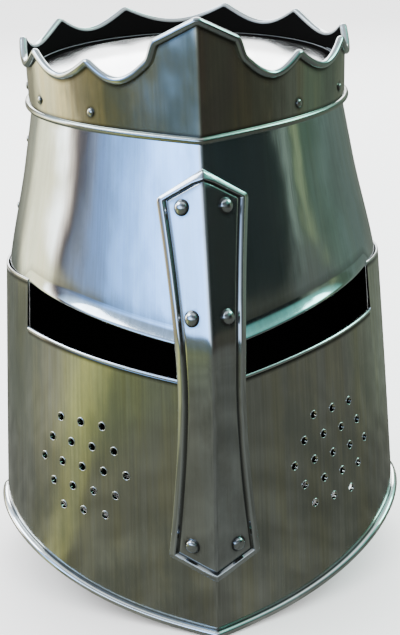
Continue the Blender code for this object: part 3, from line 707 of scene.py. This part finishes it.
def turn_at(wall, height, distance):
    """The turn that lies this far round the wall from the keel."""
    turns = np.linspace(0, 1, 400)
    path = place(wall, turns, height)[:, :2]
    lengths = np.linalg.norm(np.diff(path, axis=0), axis=1)
    return float(np.interp(distance, np.concatenate([[0], np.cumsum(lengths)]), turns))


def breath_holes():
    """Centres and ways of the breath holes, row by row on each cheek."""
    found = []
    for row, count in enumerate(BREATH_ROWS):
        height = BREATH_HEIGHT + (2 - row) * BREATH_ROW_GAP
        for column in range(count):
            distance = BREATH_DISTANCE + (column - (count - 1) / 2) * BREATH_SPACING
            turn = turn_at(lower_wall, height, distance)
            for here in (turn, -turn):
                found.append((place(lower_wall, here, height), way_out(lower_wall, here, height)))
    return found


def breath_lips(material):
    """A low burr round every breath hole: a flat oval turned about the hole's way."""
    angles = np.arange(8) * math.tau / 8
    across = BREATH_RADIUS + BREATH_LIP / 2 + BREATH_LIP / 2 * np.cos(angles)
    up = 0.00010 + 0.00022 * np.sin(angles)
    points, quads = revolved(holes, across, up, np.arange(24) * math.tau / 24, True)
    none = np.zeros(len(points))
    masks = (none + 0.7, none, none)
    return solid_piece("breath_lips", points, quads, [], points[:, [0, 2]], masks, material, sharp=80)


def punched(piece, holes, radius):
    """Cuts round holes with one Boolean and keeps the result."""
    shape = bmesh.new()
    for centre, way in holes:
        turned = Vector(way).to_track_quat("Z", "Y").to_matrix().to_4x4()
        matrix = Matrix.Translation(Vector(centre)) @ turned
        bmesh.ops.create_cone(
            shape, cap_ends=True, segments=24, radius1=radius, radius2=radius, depth=0.012, matrix=matrix
        )
    mesh = bpy.data.meshes.new("punches")
    shape.to_mesh(mesh)
    shape.free()
    punches = linked("punches", mesh)
    modifier = piece.modifiers.new("breaths", "BOOLEAN")
    modifier.solver = "EXACT"
    modifier.object = punches
    cut = bpy.data.meshes.new_from_object(piece.evaluated_get(bpy.context.evaluated_depsgraph_get()))
    piece.modifiers.remove(modifier)
    piece.data = cut
    cut.set_sharp_from_angle(angle=math.radians(40))
    bpy.data.objects.remove(punches, do_unlink=True)
    return piece


def new_group(name, inputs, outputs):
    """A shader node group with these sockets, and its two end nodes."""
    tree = bpy.data.node_groups.new(name, "ShaderNodeTree")
    kinds = {"value": "NodeSocketFloat", "colour": "NodeSocketColor", "vector": "NodeSocketVector"}
    for label, kind in inputs:
        tree.interface.new_socket(label, in_out="INPUT", socket_type=kinds[kind])
    for label, kind in outputs:
        tree.interface.new_socket(label, in_out="OUTPUT", socket_type=kinds[kind])
    return tree, tree.nodes.new("NodeGroupInput"), tree.nodes.new("NodeGroupOutput")


def surface_group(name, build):
    """A node group that reads the surface coordinates, with one value for each thing that build returns."""
    tree, start, end = new_group(name, [("Surface", "vector")], [])
    for label, value in build(tree, start.outputs["Surface"]).items():
        tree.interface.new_socket(label, in_out="OUTPUT", socket_type="NodeSocketFloat")
        tree.links.new(value, end.inputs[label])
    return tree


def node(tree, kind, settings=None, **inputs):
    """A node with its settings and its inputs set or linked by name or number."""
    made = tree.nodes.new(kind)
    for key, value in (settings or {}).items():
        setattr(made, key, value)
    for key, value in inputs.items():
        numbered = key[0] == "i" and key[1:].isdigit()
        socket = made.inputs[int(key[1:]) if numbered else key.replace("_", " ")]
        if isinstance(value, bpy.types.NodeSocket):
            tree.links.new(value, socket)
        else:
            socket.default_value = value
    return made


def math_node(tree, operation, a, b=0.0, clamp=False):
    return node(tree, "ShaderNodeMath", {"operation": operation, "use_clamp": clamp}, i0=a, i1=b).outputs[0]


def times(tree, a, b):
    """A node for a times b."""
    return math_node(tree, "MULTIPLY", a, b)


def mix_colour(tree, share, a, b, blend="MIX"):
    made = node(tree, "ShaderNodeMix", {"data_type": "RGBA", "blend_type": blend}, i0=share)
    for index, value in ((6, a), (7, b)):
        if isinstance(value, bpy.types.NodeSocket):
            tree.links.new(value, made.inputs[index])
        else:
            made.inputs[index].default_value = (*value, 1)
    return made.outputs[2]


def span(tree, value, low, high, to_low=0.0, to_high=1.0):
    """Maps a range to another, clamped and eased."""
    settings = {"interpolation_type": "SMOOTHSTEP"}
    made = node(tree, "ShaderNodeMapRange", settings, i0=value, i1=low, i2=high, i3=to_low, i4=to_high)
    return made.outputs[0]


def stretched(tree, vector, across, along, turned=0.0):
    """The surface coordinates scaled across and along the brushing, after a turn in degrees."""
    turn, scale = (0, 0, math.radians(turned)), (across, along, 1)
    return node(tree, "ShaderNodeMapping", {"vector_type": "POINT"}, i0=vector, i2=turn, i3=scale).outputs[0]


def noise(tree, vector, detail=3.0, rough=0.55, scale=1.0):
    made = node(tree, "ShaderNodeTexNoise", None, Vector=vector, Scale=scale, Detail=detail, Roughness=rough)
    return made.outputs[0]


def brushing(tree, surface):
    """Fine lines along the height of the sheet: noise squeezed across and drawn out along, in two sizes."""
    fine = noise(tree, stretched(tree, surface, 2600, 45), detail=2.0)
    wide = noise(tree, stretched(tree, surface, 620, 9), detail=4.0)
    return {"Lines": math_node(tree, "ADD", times(tree, fine, 0.5), times(tree, wide, 0.5)), "Coarse": wide}


def patina_group():
    """Slow tints: clouds and upright streaks mix three colours given to the group."""
    inputs = [("Surface", "vector"), ("Clean", "colour"), ("Warm", "colour")]
    inputs += [("Dull", "colour"), ("Streaks", "value")]
    tree, start, end = new_group("patina", inputs, [("Color", "colour"), ("Clouds", "value")])
    given = start.outputs
    streaks = noise(tree, stretched(tree, given["Surface"], 75, 4.5), detail=5.0, rough=0.62)
    clouds = noise(tree, stretched(tree, given["Surface"], 34, 13), detail=6.0, rough=0.62)
    warm = times(tree, span(tree, streaks, 0.42, 0.60), given["Streaks"])
    colour = mix_colour(tree, warm, given["Clean"], given["Warm"])
    colour = mix_colour(tree, span(tree, clouds, 0.44, 0.66, 0.0, 0.85), colour, given["Dull"])
    tree.links.new(colour, end.inputs["Color"])
    tree.links.new(clouds, end.inputs["Clouds"])
    return tree


def scratches(tree, surface):
    """Sparse straight scratches: noise drawn far out at three angles, kept only at its peaks."""
    total = None
    for turned, across, along in ((14, 1500, 14), (-22, 1700, 17), (4, 1900, 10)):
        lines = noise(tree, stretched(tree, surface, across, along, turned), detail=0.0)
        marks = span(tree, lines, 0.74, 0.82)
        where = span(tree, noise(tree, stretched(tree, surface, 40 + turned, 30), detail=2.0), 0.50, 0.64)
        marks = times(tree, marks, where)
        total = marks if total is None else math_node(tree, "MAXIMUM", total, marks)
    return {"Marks": total}


def dents(tree, surface):
    """Slow hammer waves left in raised sheet: two sizes of smooth noise, as a height."""
    slow = noise(tree, stretched(tree, surface, 22, 14), detail=1.0)
    small = noise(tree, stretched(tree, surface, 70, 40), detail=1.0)
    return {"Height": math_node(tree, "ADD", slow, times(tree, small, 0.25))}


def stains(tree, surface):
    """Soft dark runs down the sheet: noise drawn out along the height, broken by broad clouds."""
    runs = span(tree, noise(tree, stretched(tree, surface, 150, 9, 3), detail=5.0, rough=0.6), 0.55, 0.78)
    where = span(tree, noise(tree, stretched(tree, surface, 24, 12), detail=3.0), 0.42, 0.66)
    return {"Runs": times(tree, runs, where)}


def steel(name, clean, warm, dull, streaks, edge, roughness, wave, grain, line, stain):
    """Polished sheet: tints, painted shade in creases and round rivets, bright worn edges, brushed lines,
    scratches, dents.
    """
    material = bpy.data.materials.new(name)
    material.use_nodes = True
    tree = material.node_tree
    shader = tree.nodes["Principled BSDF"]
    shader.inputs["Specular IOR Level"].default_value = 0.0
    surface = node(tree, "ShaderNodeUVMap", {"uv_map": "surface"}).outputs[0]
    wear, inside, painted_shade = (
        node(tree, "ShaderNodeAttribute", {"attribute_name": mask}).outputs["Fac"] for mask in MASKS
    )

    def placed(group, **inputs):
        made = node(tree, "ShaderNodeGroup", {"node_tree": group})
        tree.links.new(surface, made.inputs["Surface"])
        for key, value in inputs.items():
            made.inputs[key].default_value = (*value, 1) if isinstance(value, tuple) else value
        return made

    lines = placed(BRUSHING)
    tints = placed(PATINA, Clean=clean, Warm=warm, Dull=dull, Streaks=streaks)
    marks = placed(SCRATCHES).outputs["Marks"]
    height = placed(DENTS).outputs["Height"]
    runs = times(tree, placed(STAINS).outputs["Runs"], stain)

    shade = span(tree, lines.outputs["Coarse"], 0.3, 0.7, 1 - line, 1 + 0.7 * line)
    colour = mix_colour(tree, 1.0, tints.outputs["Color"], shade, "MULTIPLY")
    broken = times(tree, wear, span(tree, tints.outputs["Clouds"], 0.35, 0.6, 0.75, 1.0))
    colour = mix_colour(tree, broken, colour, edge)
    colour = mix_colour(tree, times(tree, marks, 0.30), colour, tuple(0.4 * c for c in clean))
    # Painted shade: near black in creases, under lips and round rivets
    colour = mix_colour(tree, math_node(tree, "MULTIPLY", painted_shade, 0.85, True), colour, (0.03, 0.03, 0.028))
    colour = mix_colour(tree, runs, colour, tuple(0.35 * c for c in dull))
    # Inner faces: dull unpolished steel, made near black as painted shade of the helmet's inside
    colour = mix_colour(tree, span(tree, inside, 0.2, 0.8), colour, (0.003, 0.003, 0.003))
    tree.links.new(colour, shader.inputs["Base Color"])
    tree.links.new(math_node(tree, "SUBTRACT", 1.0, inside, True), shader.inputs["Metallic"])

    cloudy = span(tree, tints.outputs["Clouds"], 0.3, 0.75, roughness * 0.75, roughness * 1.35)
    rough = math_node(tree, "ADD", cloudy, times(tree, marks, 0.05))
    rough = math_node(tree, "ADD", rough, times(tree, inside, 0.8))
    rough = math_node(tree, "SUBTRACT", rough, times(tree, wear, roughness * 0.3), True)
    tree.links.new(rough, shader.inputs["Roughness"])

    hammered = node(tree, "ShaderNodeBump", None, Strength=1.0, Distance=wave, Height=height)
    brushed = node(tree, "ShaderNodeBump", None, Strength=1.0, Distance=grain, Height=lines.outputs["Lines"])
    tree.links.new(hammered.outputs[0], brushed.inputs["Normal"])
    tree.links.new(brushed.outputs[0], shader.inputs["Normal"])
    return material


PATINA = patina_group()
BRUSHING, SCRATCHES, DENTS, STAINS = (
    surface_group(build.__name__, build) for build in (brushing, scratches, dents, stains)
)
# Name, clean, warm and dull tints, streaks, edge, roughness, wave and grain in metres, line, stain
STEELS = (
    # The skull's blue clean tint is a painted reflection of blue sky
    ("skull_steel", (0.58, 0.66, 0.74), (0.56, 0.58, 0.56), (0.45, 0.5, 0.54),
     0.4, (0.74, 0.82, 0.88), 0.1, 0.0006, 0.000012, 0.05, 0.15),
    ("disc_steel", (0.74, 0.76, 0.78), (0.7, 0.71, 0.7), (0.62, 0.64, 0.65),
     0.4, (0.84, 0.87, 0.88), 0.16, 0.0001, 0.000010, 0.03, 0.1),
    ("face_steel", (0.55, 0.56, 0.53), (0.58, 0.57, 0.44), (0.42, 0.44, 0.41),
     0.75, (0.92, 0.95, 0.97), 0.15, 0.0009, 0.000018, 0.1, 0.3),
    ("crown_steel", (0.42, 0.43, 0.39), (0.5, 0.47, 0.36), (0.27, 0.29, 0.25),
     0.8, (0.5, 0.55, 0.58), 0.14, 0.0012, 0.000018, 0.08, 0.4),
    ("bead_steel", (0.44, 0.45, 0.43), (0.46, 0.44, 0.36), (0.26, 0.28, 0.26),
     0.8, (0.38, 0.44, 0.43), 0.18, 0.0003, 0.000010, 0.08, 0.3),
    ("bar_steel", (0.58, 0.61, 0.64), (0.52, 0.52, 0.49), (0.42, 0.43, 0.43),
     0.5, (0.76, 0.8, 0.84), 0.11, 0.0003, 0.000012, 0.05, 0.2),
    ("rivet_steel", (0.5, 0.52, 0.55), (0.46, 0.45, 0.42), (0.34, 0.35, 0.36),
     0.3, (0.56, 0.59, 0.62), 0.12, 0.0001, 0.000006, 0.04, 0.2),
    ("seam_rivet_steel", (0.44, 0.45, 0.43), (0.46, 0.44, 0.36), (0.26, 0.28, 0.26),
     0.6, (0.5, 0.52, 0.5), 0.2, 0.0001, 0.000006, 0.04, 0.2),
)
made = {row[0]: steel(*row) for row in STEELS}
skull_steel, disc_steel, face_steel, crown_steel = (made[row[0]] for row in STEELS[:4])
bead_steel, bar_steel, rivet_steel, seam_rivet_steel = (made[row[0]] for row in STEELS[4:])


def seats_of(wall, spots):
    """Seat and way of rivets on both sides: each spot has a turn, a height and a distance out."""
    found = []
    for turn, height, out in spots:
        for side in (1, -1):
            way = way_out(wall, side * turn, height)
            found.append((place(wall, side * turn, height, out) + way * GAP, way))
    return found


def bar_seats():
    found = []
    for share, across in BAR_RIVETS:
        for side in (1, -1):
            height, half_width = bar_spot(share, across)
            behind = skull_wall if height > SLIT_UPPER_FRONT else lower_wall
            half_width = np.array(side * half_width)
            turn = float(turn_at_width(behind, height, half_width))
            way = way_out(behind, turn, height)
            found.append((bar_place(np.array(height), half_width, WALL) + way * GAP, way))
    return found


on_bar = bar_seats()
on_crown = seats_of(crown_wall, [(row[0], SEAM[0] + CROWN_RIVET_RISE, 0) for row in CROWN_EDGE[3:-1]])
on_face = seats_of(lower_wall, [(SIDE_RIVET_TURN, SIDE_TOP * share, 0) for share in (0.42, 0.74)])
skull_heights = [SIDE_TOP + (SEAM[0] - SIDE_TOP) * share for share in (0.25, 0.71)]
skull_swells = [float(side_swell(SIDE_RIVET_TURN, height)) for height in skull_heights]
on_skull = seats_of(skull_wall, [(SIDE_RIVET_TURN, *spot) for spot in zip(skull_heights, skull_swells)])
on_nape = seats_of(lower_wall, [(NAPE_RIVET_TURN, (NAPE_TOP + SKULL_BACK_LOW) / 2, -LAP)])
holes = breath_holes()

keel_steps = np.array([0, 0.0008, 0.0018, 0.003, 0.0045, 0.0065, 0.009, 0.012, 0.016, 0.021, 0.027, 0.034])
front_half = np.concatenate([keel_steps, np.linspace(0.042, SLIT_END_TURN - 0.0012, 92)])
beside_slit = np.linspace(SLIT_END_TURN + 0.008, FRONT_PLATE_END, 56)
face_half = np.concatenate([front_half, [SLIT_END_TURN + 0.0008], beside_slit])
face_turns = np.concatenate([-face_half[::-1], face_half[1:]])
rear_half = np.linspace(BACK_PLATE_START, 2, 110)
rear_turns = np.concatenate([rear_half, 4 - rear_half[::-1][1:]])


def rear(shape):
    """A wall or a profile that takes turns past 2 as the other side's."""
    return lambda turn, *rest: shape(np.where(turn > 2, turn - 4, turn), *rest)


# Rivets round which the sheets get rings of painted shade
face_marks = [(seat, SMALL_HEAD) for seat, _ in on_face] + [(seat, 0.0030) for seat, _ in on_bar[2:]]
face = plate("face_sheet", lower_wall, face_turns, face_profile, face_steel, face_marks)
face = punched(face, holes, BREATH_RADIUS)
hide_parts("face_plate")

lips = breath_lips(face_steel)

nape = plate("nape_sheet", rear(lower_wall), rear_turns, rear(nape_profile), face_steel)
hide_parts("nape_plate")

skull_marks = [(seat, SMALL_HEAD) for seat, _ in on_skull]
skull = plate("skull_sheet", skull_wall, face_turns, skull_profile, skull_steel, skull_marks)
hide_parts("skull_front")

skull_back = rear(skull_back_profile)
skull_rear = plate("skull_rear_sheet", rear(skull_wall), rear_turns, skull_back, skull_steel)
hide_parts("skull_back")

crown_half = np.concatenate([keel_steps, np.linspace(0.042, 2, 330)])
crown_turns = np.concatenate([-crown_half[::-1][:-1], crown_half[:-1]])
crown_marks = [(seat, SMALL_HEAD) for seat, _ in on_crown]
crown = plate("crown_sheet", crown_wall, crown_turns, crown_profile, crown_steel, crown_marks, around=True)
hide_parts("crown_band")

lip_turns = np.linspace(-2, 2, 901)[:-1]
lip_height = SEAM[0] + crown_rise(lip_turns) - CROWN_LIP_RADIUS
lip_path = place(crown_wall, lip_turns, lip_height, CROWN_LIP_RADIUS - WALL)
lip = tube("crown_lip", lip_path, way_out(crown_wall, lip_turns, lip_height), CROWN_LIP_RADIUS, crown_steel)

bead_path = place(crown_wall, crown_turns, SEAM[0], BEAD_RADIUS - LAP + GAP)
bead_way = way_out(crown_wall, crown_turns, SEAM[0])
bead = tube("bead_ring", bead_path, bead_way, BEAD_RADIUS, bead_steel, wear=0.5)
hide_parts("crown_bead")

disc = top_disc(disc_steel)
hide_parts("top_plate")

bar = nasal_bar(bar_steel, [(seat, 0.0036) for seat, _ in on_bar])
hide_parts("nasal_bar")

for name, seats, radius, height in (
    ("bar", on_bar, 0.0039, 0.0027),
    ("crown", on_crown, SMALL_HEAD, 0.0011),
    ("face", on_face, SMALL_HEAD, 0.0015),
    ("skull", on_skull, SMALL_HEAD, 0.0015),
    ("nape", on_nape, SMALL_HEAD, 0.0015),
):
    looks = rivet_steel if name == "bar" else seam_rivet_steel
    heads = rivet_heads(f"{name}_heads", seats, radius, height, looks)
    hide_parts(*(f"{name}_rivet_{number + 1}" for number in range(len(seats))))


def round_about(tree, way):
    """The azimuth of a direction as a share of a turn: 0.5 at the front, more towards +X."""
    parts = node(tree, "ShaderNodeSeparateXYZ", None, i0=way).outputs
    azimuth = math_node(tree, "ARCTAN2", parts[0], times(tree, parts[1], -1.0))
    return math_node(tree, "ADD", math_node(tree, "DIVIDE", azimuth, math.tau), 0.5), parts


def tone_ramp(tree, share, tones):
    """Tones by degrees round from the front, eased into each other."""
    ramp = tree.nodes.new("ShaderNodeValToRGB")
    tree.links.new(share, ramp.inputs[0])
    ramp.color_ramp.interpolation = "EASE"
    while len(ramp.color_ramp.elements) < len(tones):
        ramp.color_ramp.elements.new(0.5)
    for element, (degrees, *colour) in zip(ramp.color_ramp.elements, tones):
        element.position = (degrees + 180) / 360
        element.color = (*colour, 1)
    return ramp.outputs[0]


def seen_in_steel(tree, plain, reflected):
    """One shader for the eye and as light, another for the rays that the steel reflects."""
    glossy = node(tree, "ShaderNodeLightPath").outputs["Is Glossy Ray"]
    mixed = node(tree, "ShaderNodeMixShader", None, i0=glossy, i1=plain.outputs[0], i2=reflected.outputs[0])
    return mixed.outputs[0]


def floor():
    """A plain pale floor to the eye and as light; to the steel's reflections it glows instead with painted
    reflection tones, near to far, and slow clouds.
    """
    mesh = bpy.data.meshes.new("floor")
    mesh.from_pydata([(-12, -12, 0), (12, -12, 0), (12, 12, 0), (-12, 12, 0)], [], [(0, 1, 2, 3)])
    ground = linked("floor", mesh)
    material = bpy.data.materials.new("pale_floor")
    material.use_nodes = True
    tree = material.node_tree
    shader = tree.nodes["Principled BSDF"]
    shader.inputs["Base Color"].default_value = (0.9, 0.9, 0.9, 1)
    shader.inputs["Roughness"].default_value = 0.9
    spot = node(tree, "ShaderNodeTexCoord").outputs["Object"]
    share, _ = round_about(tree, spot)
    distance = node(tree, "ShaderNodeVectorMath", {"operation": "LENGTH"}, i0=spot).outputs["Value"]
    close, middle, far = (tone_ramp(tree, share, row) for row in (NEAR_GROUND, MIDDLE_GROUND, FAR_GROUND))
    tones = mix_colour(tree, span(tree, distance, 0.24, 0.46), close, middle)
    tones = mix_colour(tree, span(tree, distance, 0.8, 2.4), tones, far)
    clouds = span(tree, noise(tree, spot, detail=3.0, scale=24.0), 0.35, 0.68, 0.80, 1.25)
    ground_light = node(tree, "ShaderNodeEmission", None, i0=tones, i1=clouds)
    tree.links.new(seen_in_steel(tree, shader, ground_light), tree.nodes["Material Output"].inputs[0])
    mesh.materials.append(material)


def softbox(name, azimuth, elevation, distance, width, height, power, colour):
    """An area light that faces the helmet, its azimuth in degrees from the front towards +X."""
    a, e = math.radians(azimuth), math.radians(elevation)
    spot = Vector((math.sin(a) * math.cos(e), -math.cos(a) * math.cos(e), math.sin(e))) * distance
    spot.z += AIM
    light = bpy.data.lights.new(name, "AREA")
    light.shape = "RECTANGLE"
    light.size, light.size_y = width, height
    light.energy = power
    light.color = colour
    lamp = linked(name, light)
    lamp.location = spot
    lamp.rotation_euler = (Vector((0, 0, AIM)) - spot).to_track_quat("-Z", "Y").to_euler()


def studio_world():
    """The room round the helmet: plain and pale, but upright light and dark panels in the reflections."""
    world = bpy.data.worlds.new("studio")
    bpy.context.scene.world = world
    world.use_nodes = True
    tree = world.node_tree
    tree.nodes.clear()
    share, parts = round_about(tree, node(tree, "ShaderNodeTexCoord").outputs["Generated"])
    ground, panels = tone_ramp(tree, share, FAR_GROUND), tone_ramp(tree, share, PANELS)
    colour = mix_colour(tree, span(tree, parts[2], 0.03, 0.085), ground, panels)
    colour = mix_colour(tree, span(tree, parts[2], 0.26, 0.50), colour, tone_ramp(tree, share, DOME))
    colour = mix_colour(tree, span(tree, parts[2], 0.72, 0.96), colour, OVERHEAD)
    room = node(tree, "ShaderNodeBackground", None, i0=colour, i1=1.0)
    plain = node(tree, "ShaderNodeBackground", None, i0=(0.98, 0.98, 0.98, 1), i1=3.6)
    output = tree.nodes.new("ShaderNodeOutputWorld")
    tree.links.new(seen_in_steel(tree, plain, room), output.inputs[0])


# What the steel reflects near the horizon: degrees round from the front towards +X, red, green, blue
PANELS = (
    (-180, 5, 5, 5), (-166, 3.5, 3.5, 3.4), (-160, 0.3, 0.3, 0.26), (-145, 0.6, 0.55, 0.38),
    (-132, 2, 1.9, 1.5), (-118, 6, 5.9, 5.4), (-102, 6, 5.8, 5.2), (-98, 2.6, 2.2, 1.8),
    (-95, 0.55, 0.42, 0.36), (-92, 0.12, 0.1, 0.1), (-89, 0.22, 0.24, 0.32),
    (-84, 0.42, 0.48, 0.62), (-79, 0.4, 0.64, 1.15), (-70, 0.8, 1.6, 3.2), (-60, 2, 3.9, 7.5),
    (-45, 2, 2.6, 3.4), (-20, 0.5, 0.58, 0.66), (30, 0.15, 0.17, 0.17), (60, 0.01, 0.02, 0.018),
    (75, 0.012, 0.022, 0.018), (80, 0.02, 0.035, 0.025), (84, 0.34, 0.42, 0.31),
    (86, 0.06, 0.1, 0.07), (89, 0.4, 0.48, 0.24), (92, 0.1, 0.16, 0.1), (125, 0.11, 0.16, 0.12),
    (144, 0.3, 0.36, 0.28), (158, 0.3, 0.34, 0.3), (168, 3.5, 3.5, 3.4), (180, 5, 5, 5),
)
# Tones of the room's upper half, and overhead
OVERHEAD = (1.0, 1.1, 1.15)
DOME = (
    (-180, 1.6, 1.7, 1.8), (-150, 1, 1.1, 1.2), (-105, 1.9, 2.6, 3.4), (-60, 0.55, 0.75, 1.05),
    (-30, 0.16, 0.18, 0.2), (30, 0.12, 0.15, 0.15), (70, 0.16, 0.48, 0.4), (105, 0.6, 1.9, 1.55),
    (150, 0.5, 0.8, 0.7), (180, 1.6, 1.7, 1.8),
)
# Painted reflections of the ground that only the steel sees, by degrees round from the front: far (also the
# room's lower half), middle and near
FAR_GROUND = (
    (-180, 0.2, 0.21, 0.17), (-145, 0.6, 0.58, 0.42), (-130, 3, 2.8, 1.8), (-102, 2.8, 2.5, 1.5),
    (-92, 0.66, 0.57, 0.36), (-80, 0.44, 0.4, 0.2), (-73, 0.2, 0.21, 0.11), (-67, 0.24, 0.27, 0.22),
    (-58, 0.16, 0.22, 0.21), (0, 0.14, 0.16, 0.14), (62, 0.055, 0.05, 0.045),
    (74, 0.075, 0.08, 0.055), (84, 0.15, 0.17, 0.14), (100, 0.17, 0.24, 0.18),
    (130, 0.17, 0.22, 0.18), (180, 0.2, 0.21, 0.17),
)
MIDDLE_GROUND = (
    (-180, 0.16, 0.17, 0.14), (-125, 0.22, 0.24, 0.2), (-102, 0.36, 0.38, 0.31),
    (-90, 0.44, 0.45, 0.36), (-80, 0.66, 0.67, 0.4), (-73, 0.92, 0.95, 0.38),
    (-68, 0.78, 0.82, 0.32), (-63, 0.26, 0.3, 0.16), (-45, 0.19, 0.21, 0.16), (0, 0.16, 0.17, 0.15),
    (60, 0.14, 0.15, 0.13), (85, 0.15, 0.16, 0.14), (100, 0.17, 0.19, 0.15),
    (125, 0.22, 0.26, 0.21), (180, 0.16, 0.17, 0.14),
)
NEAR_GROUND = (
    (-180, 0.16, 0.17, 0.15), (-100, 0.24, 0.25, 0.22), (-80, 0.28, 0.29, 0.22),
    (-73, 0.5, 0.51, 0.28), (-67, 0.48, 0.5, 0.26), (-61, 0.22, 0.23, 0.18), (0, 0.17, 0.18, 0.16),
    (70, 0.13, 0.14, 0.12), (180, 0.16, 0.17, 0.15),
)


# Height that the camera and lights aim at, the camera's sensor in millimetres, the picture in pixels
AIM = 0.18
SENSOR = 36
PICTURE_HEIGHT = 635


def camera():
    """The photo's viewpoint: azimuth, elevation, roll, distance from the target, and the lens."""
    azimuth, elevation, roll = math.radians(-3.3082), math.radians(15.6694), math.radians(1.9845)
    across, ahead = math.sin(azimuth), -math.cos(azimuth)
    away = Vector((across * math.cos(elevation), ahead * math.cos(elevation), math.sin(elevation)))
    right = Vector((math.cos(azimuth), math.sin(azimuth), 0))
    up = away.cross(right)
    level = math.cos(roll) * right - math.sin(roll) * up
    upright = math.sin(roll) * right + math.cos(roll) * up
    data = bpy.data.cameras.new("camera")
    data.sensor_width = SENSOR
    data.lens = 1475.4 / PICTURE_HEIGHT * SENSOR
    data.shift_x = 7.19 / PICTURE_HEIGHT
    data.shift_y = -43.40 / PICTURE_HEIGHT
    eye = linked("camera", data)
    turned = Matrix((level, upright, away)).transposed().to_4x4()
    eye.matrix_world = Matrix.Translation(Vector((0, MIDDLE, AIM)) + away * 0.9074) @ turned
    bpy.context.scene.camera = eye


floor()
studio_world()
softbox("left_light", -95, 42, 2.2, 1.4, 0.9, 34, (0.90, 0.96, 1.0))
softbox("back_light", 178, 32, 2.6, 2.2, 1.0, 60, (1, 1, 1))
softbox("right_light", 100, 38, 2.4, 1.2, 0.8, 26, (0.50, 1.0, 0.88))
camera()
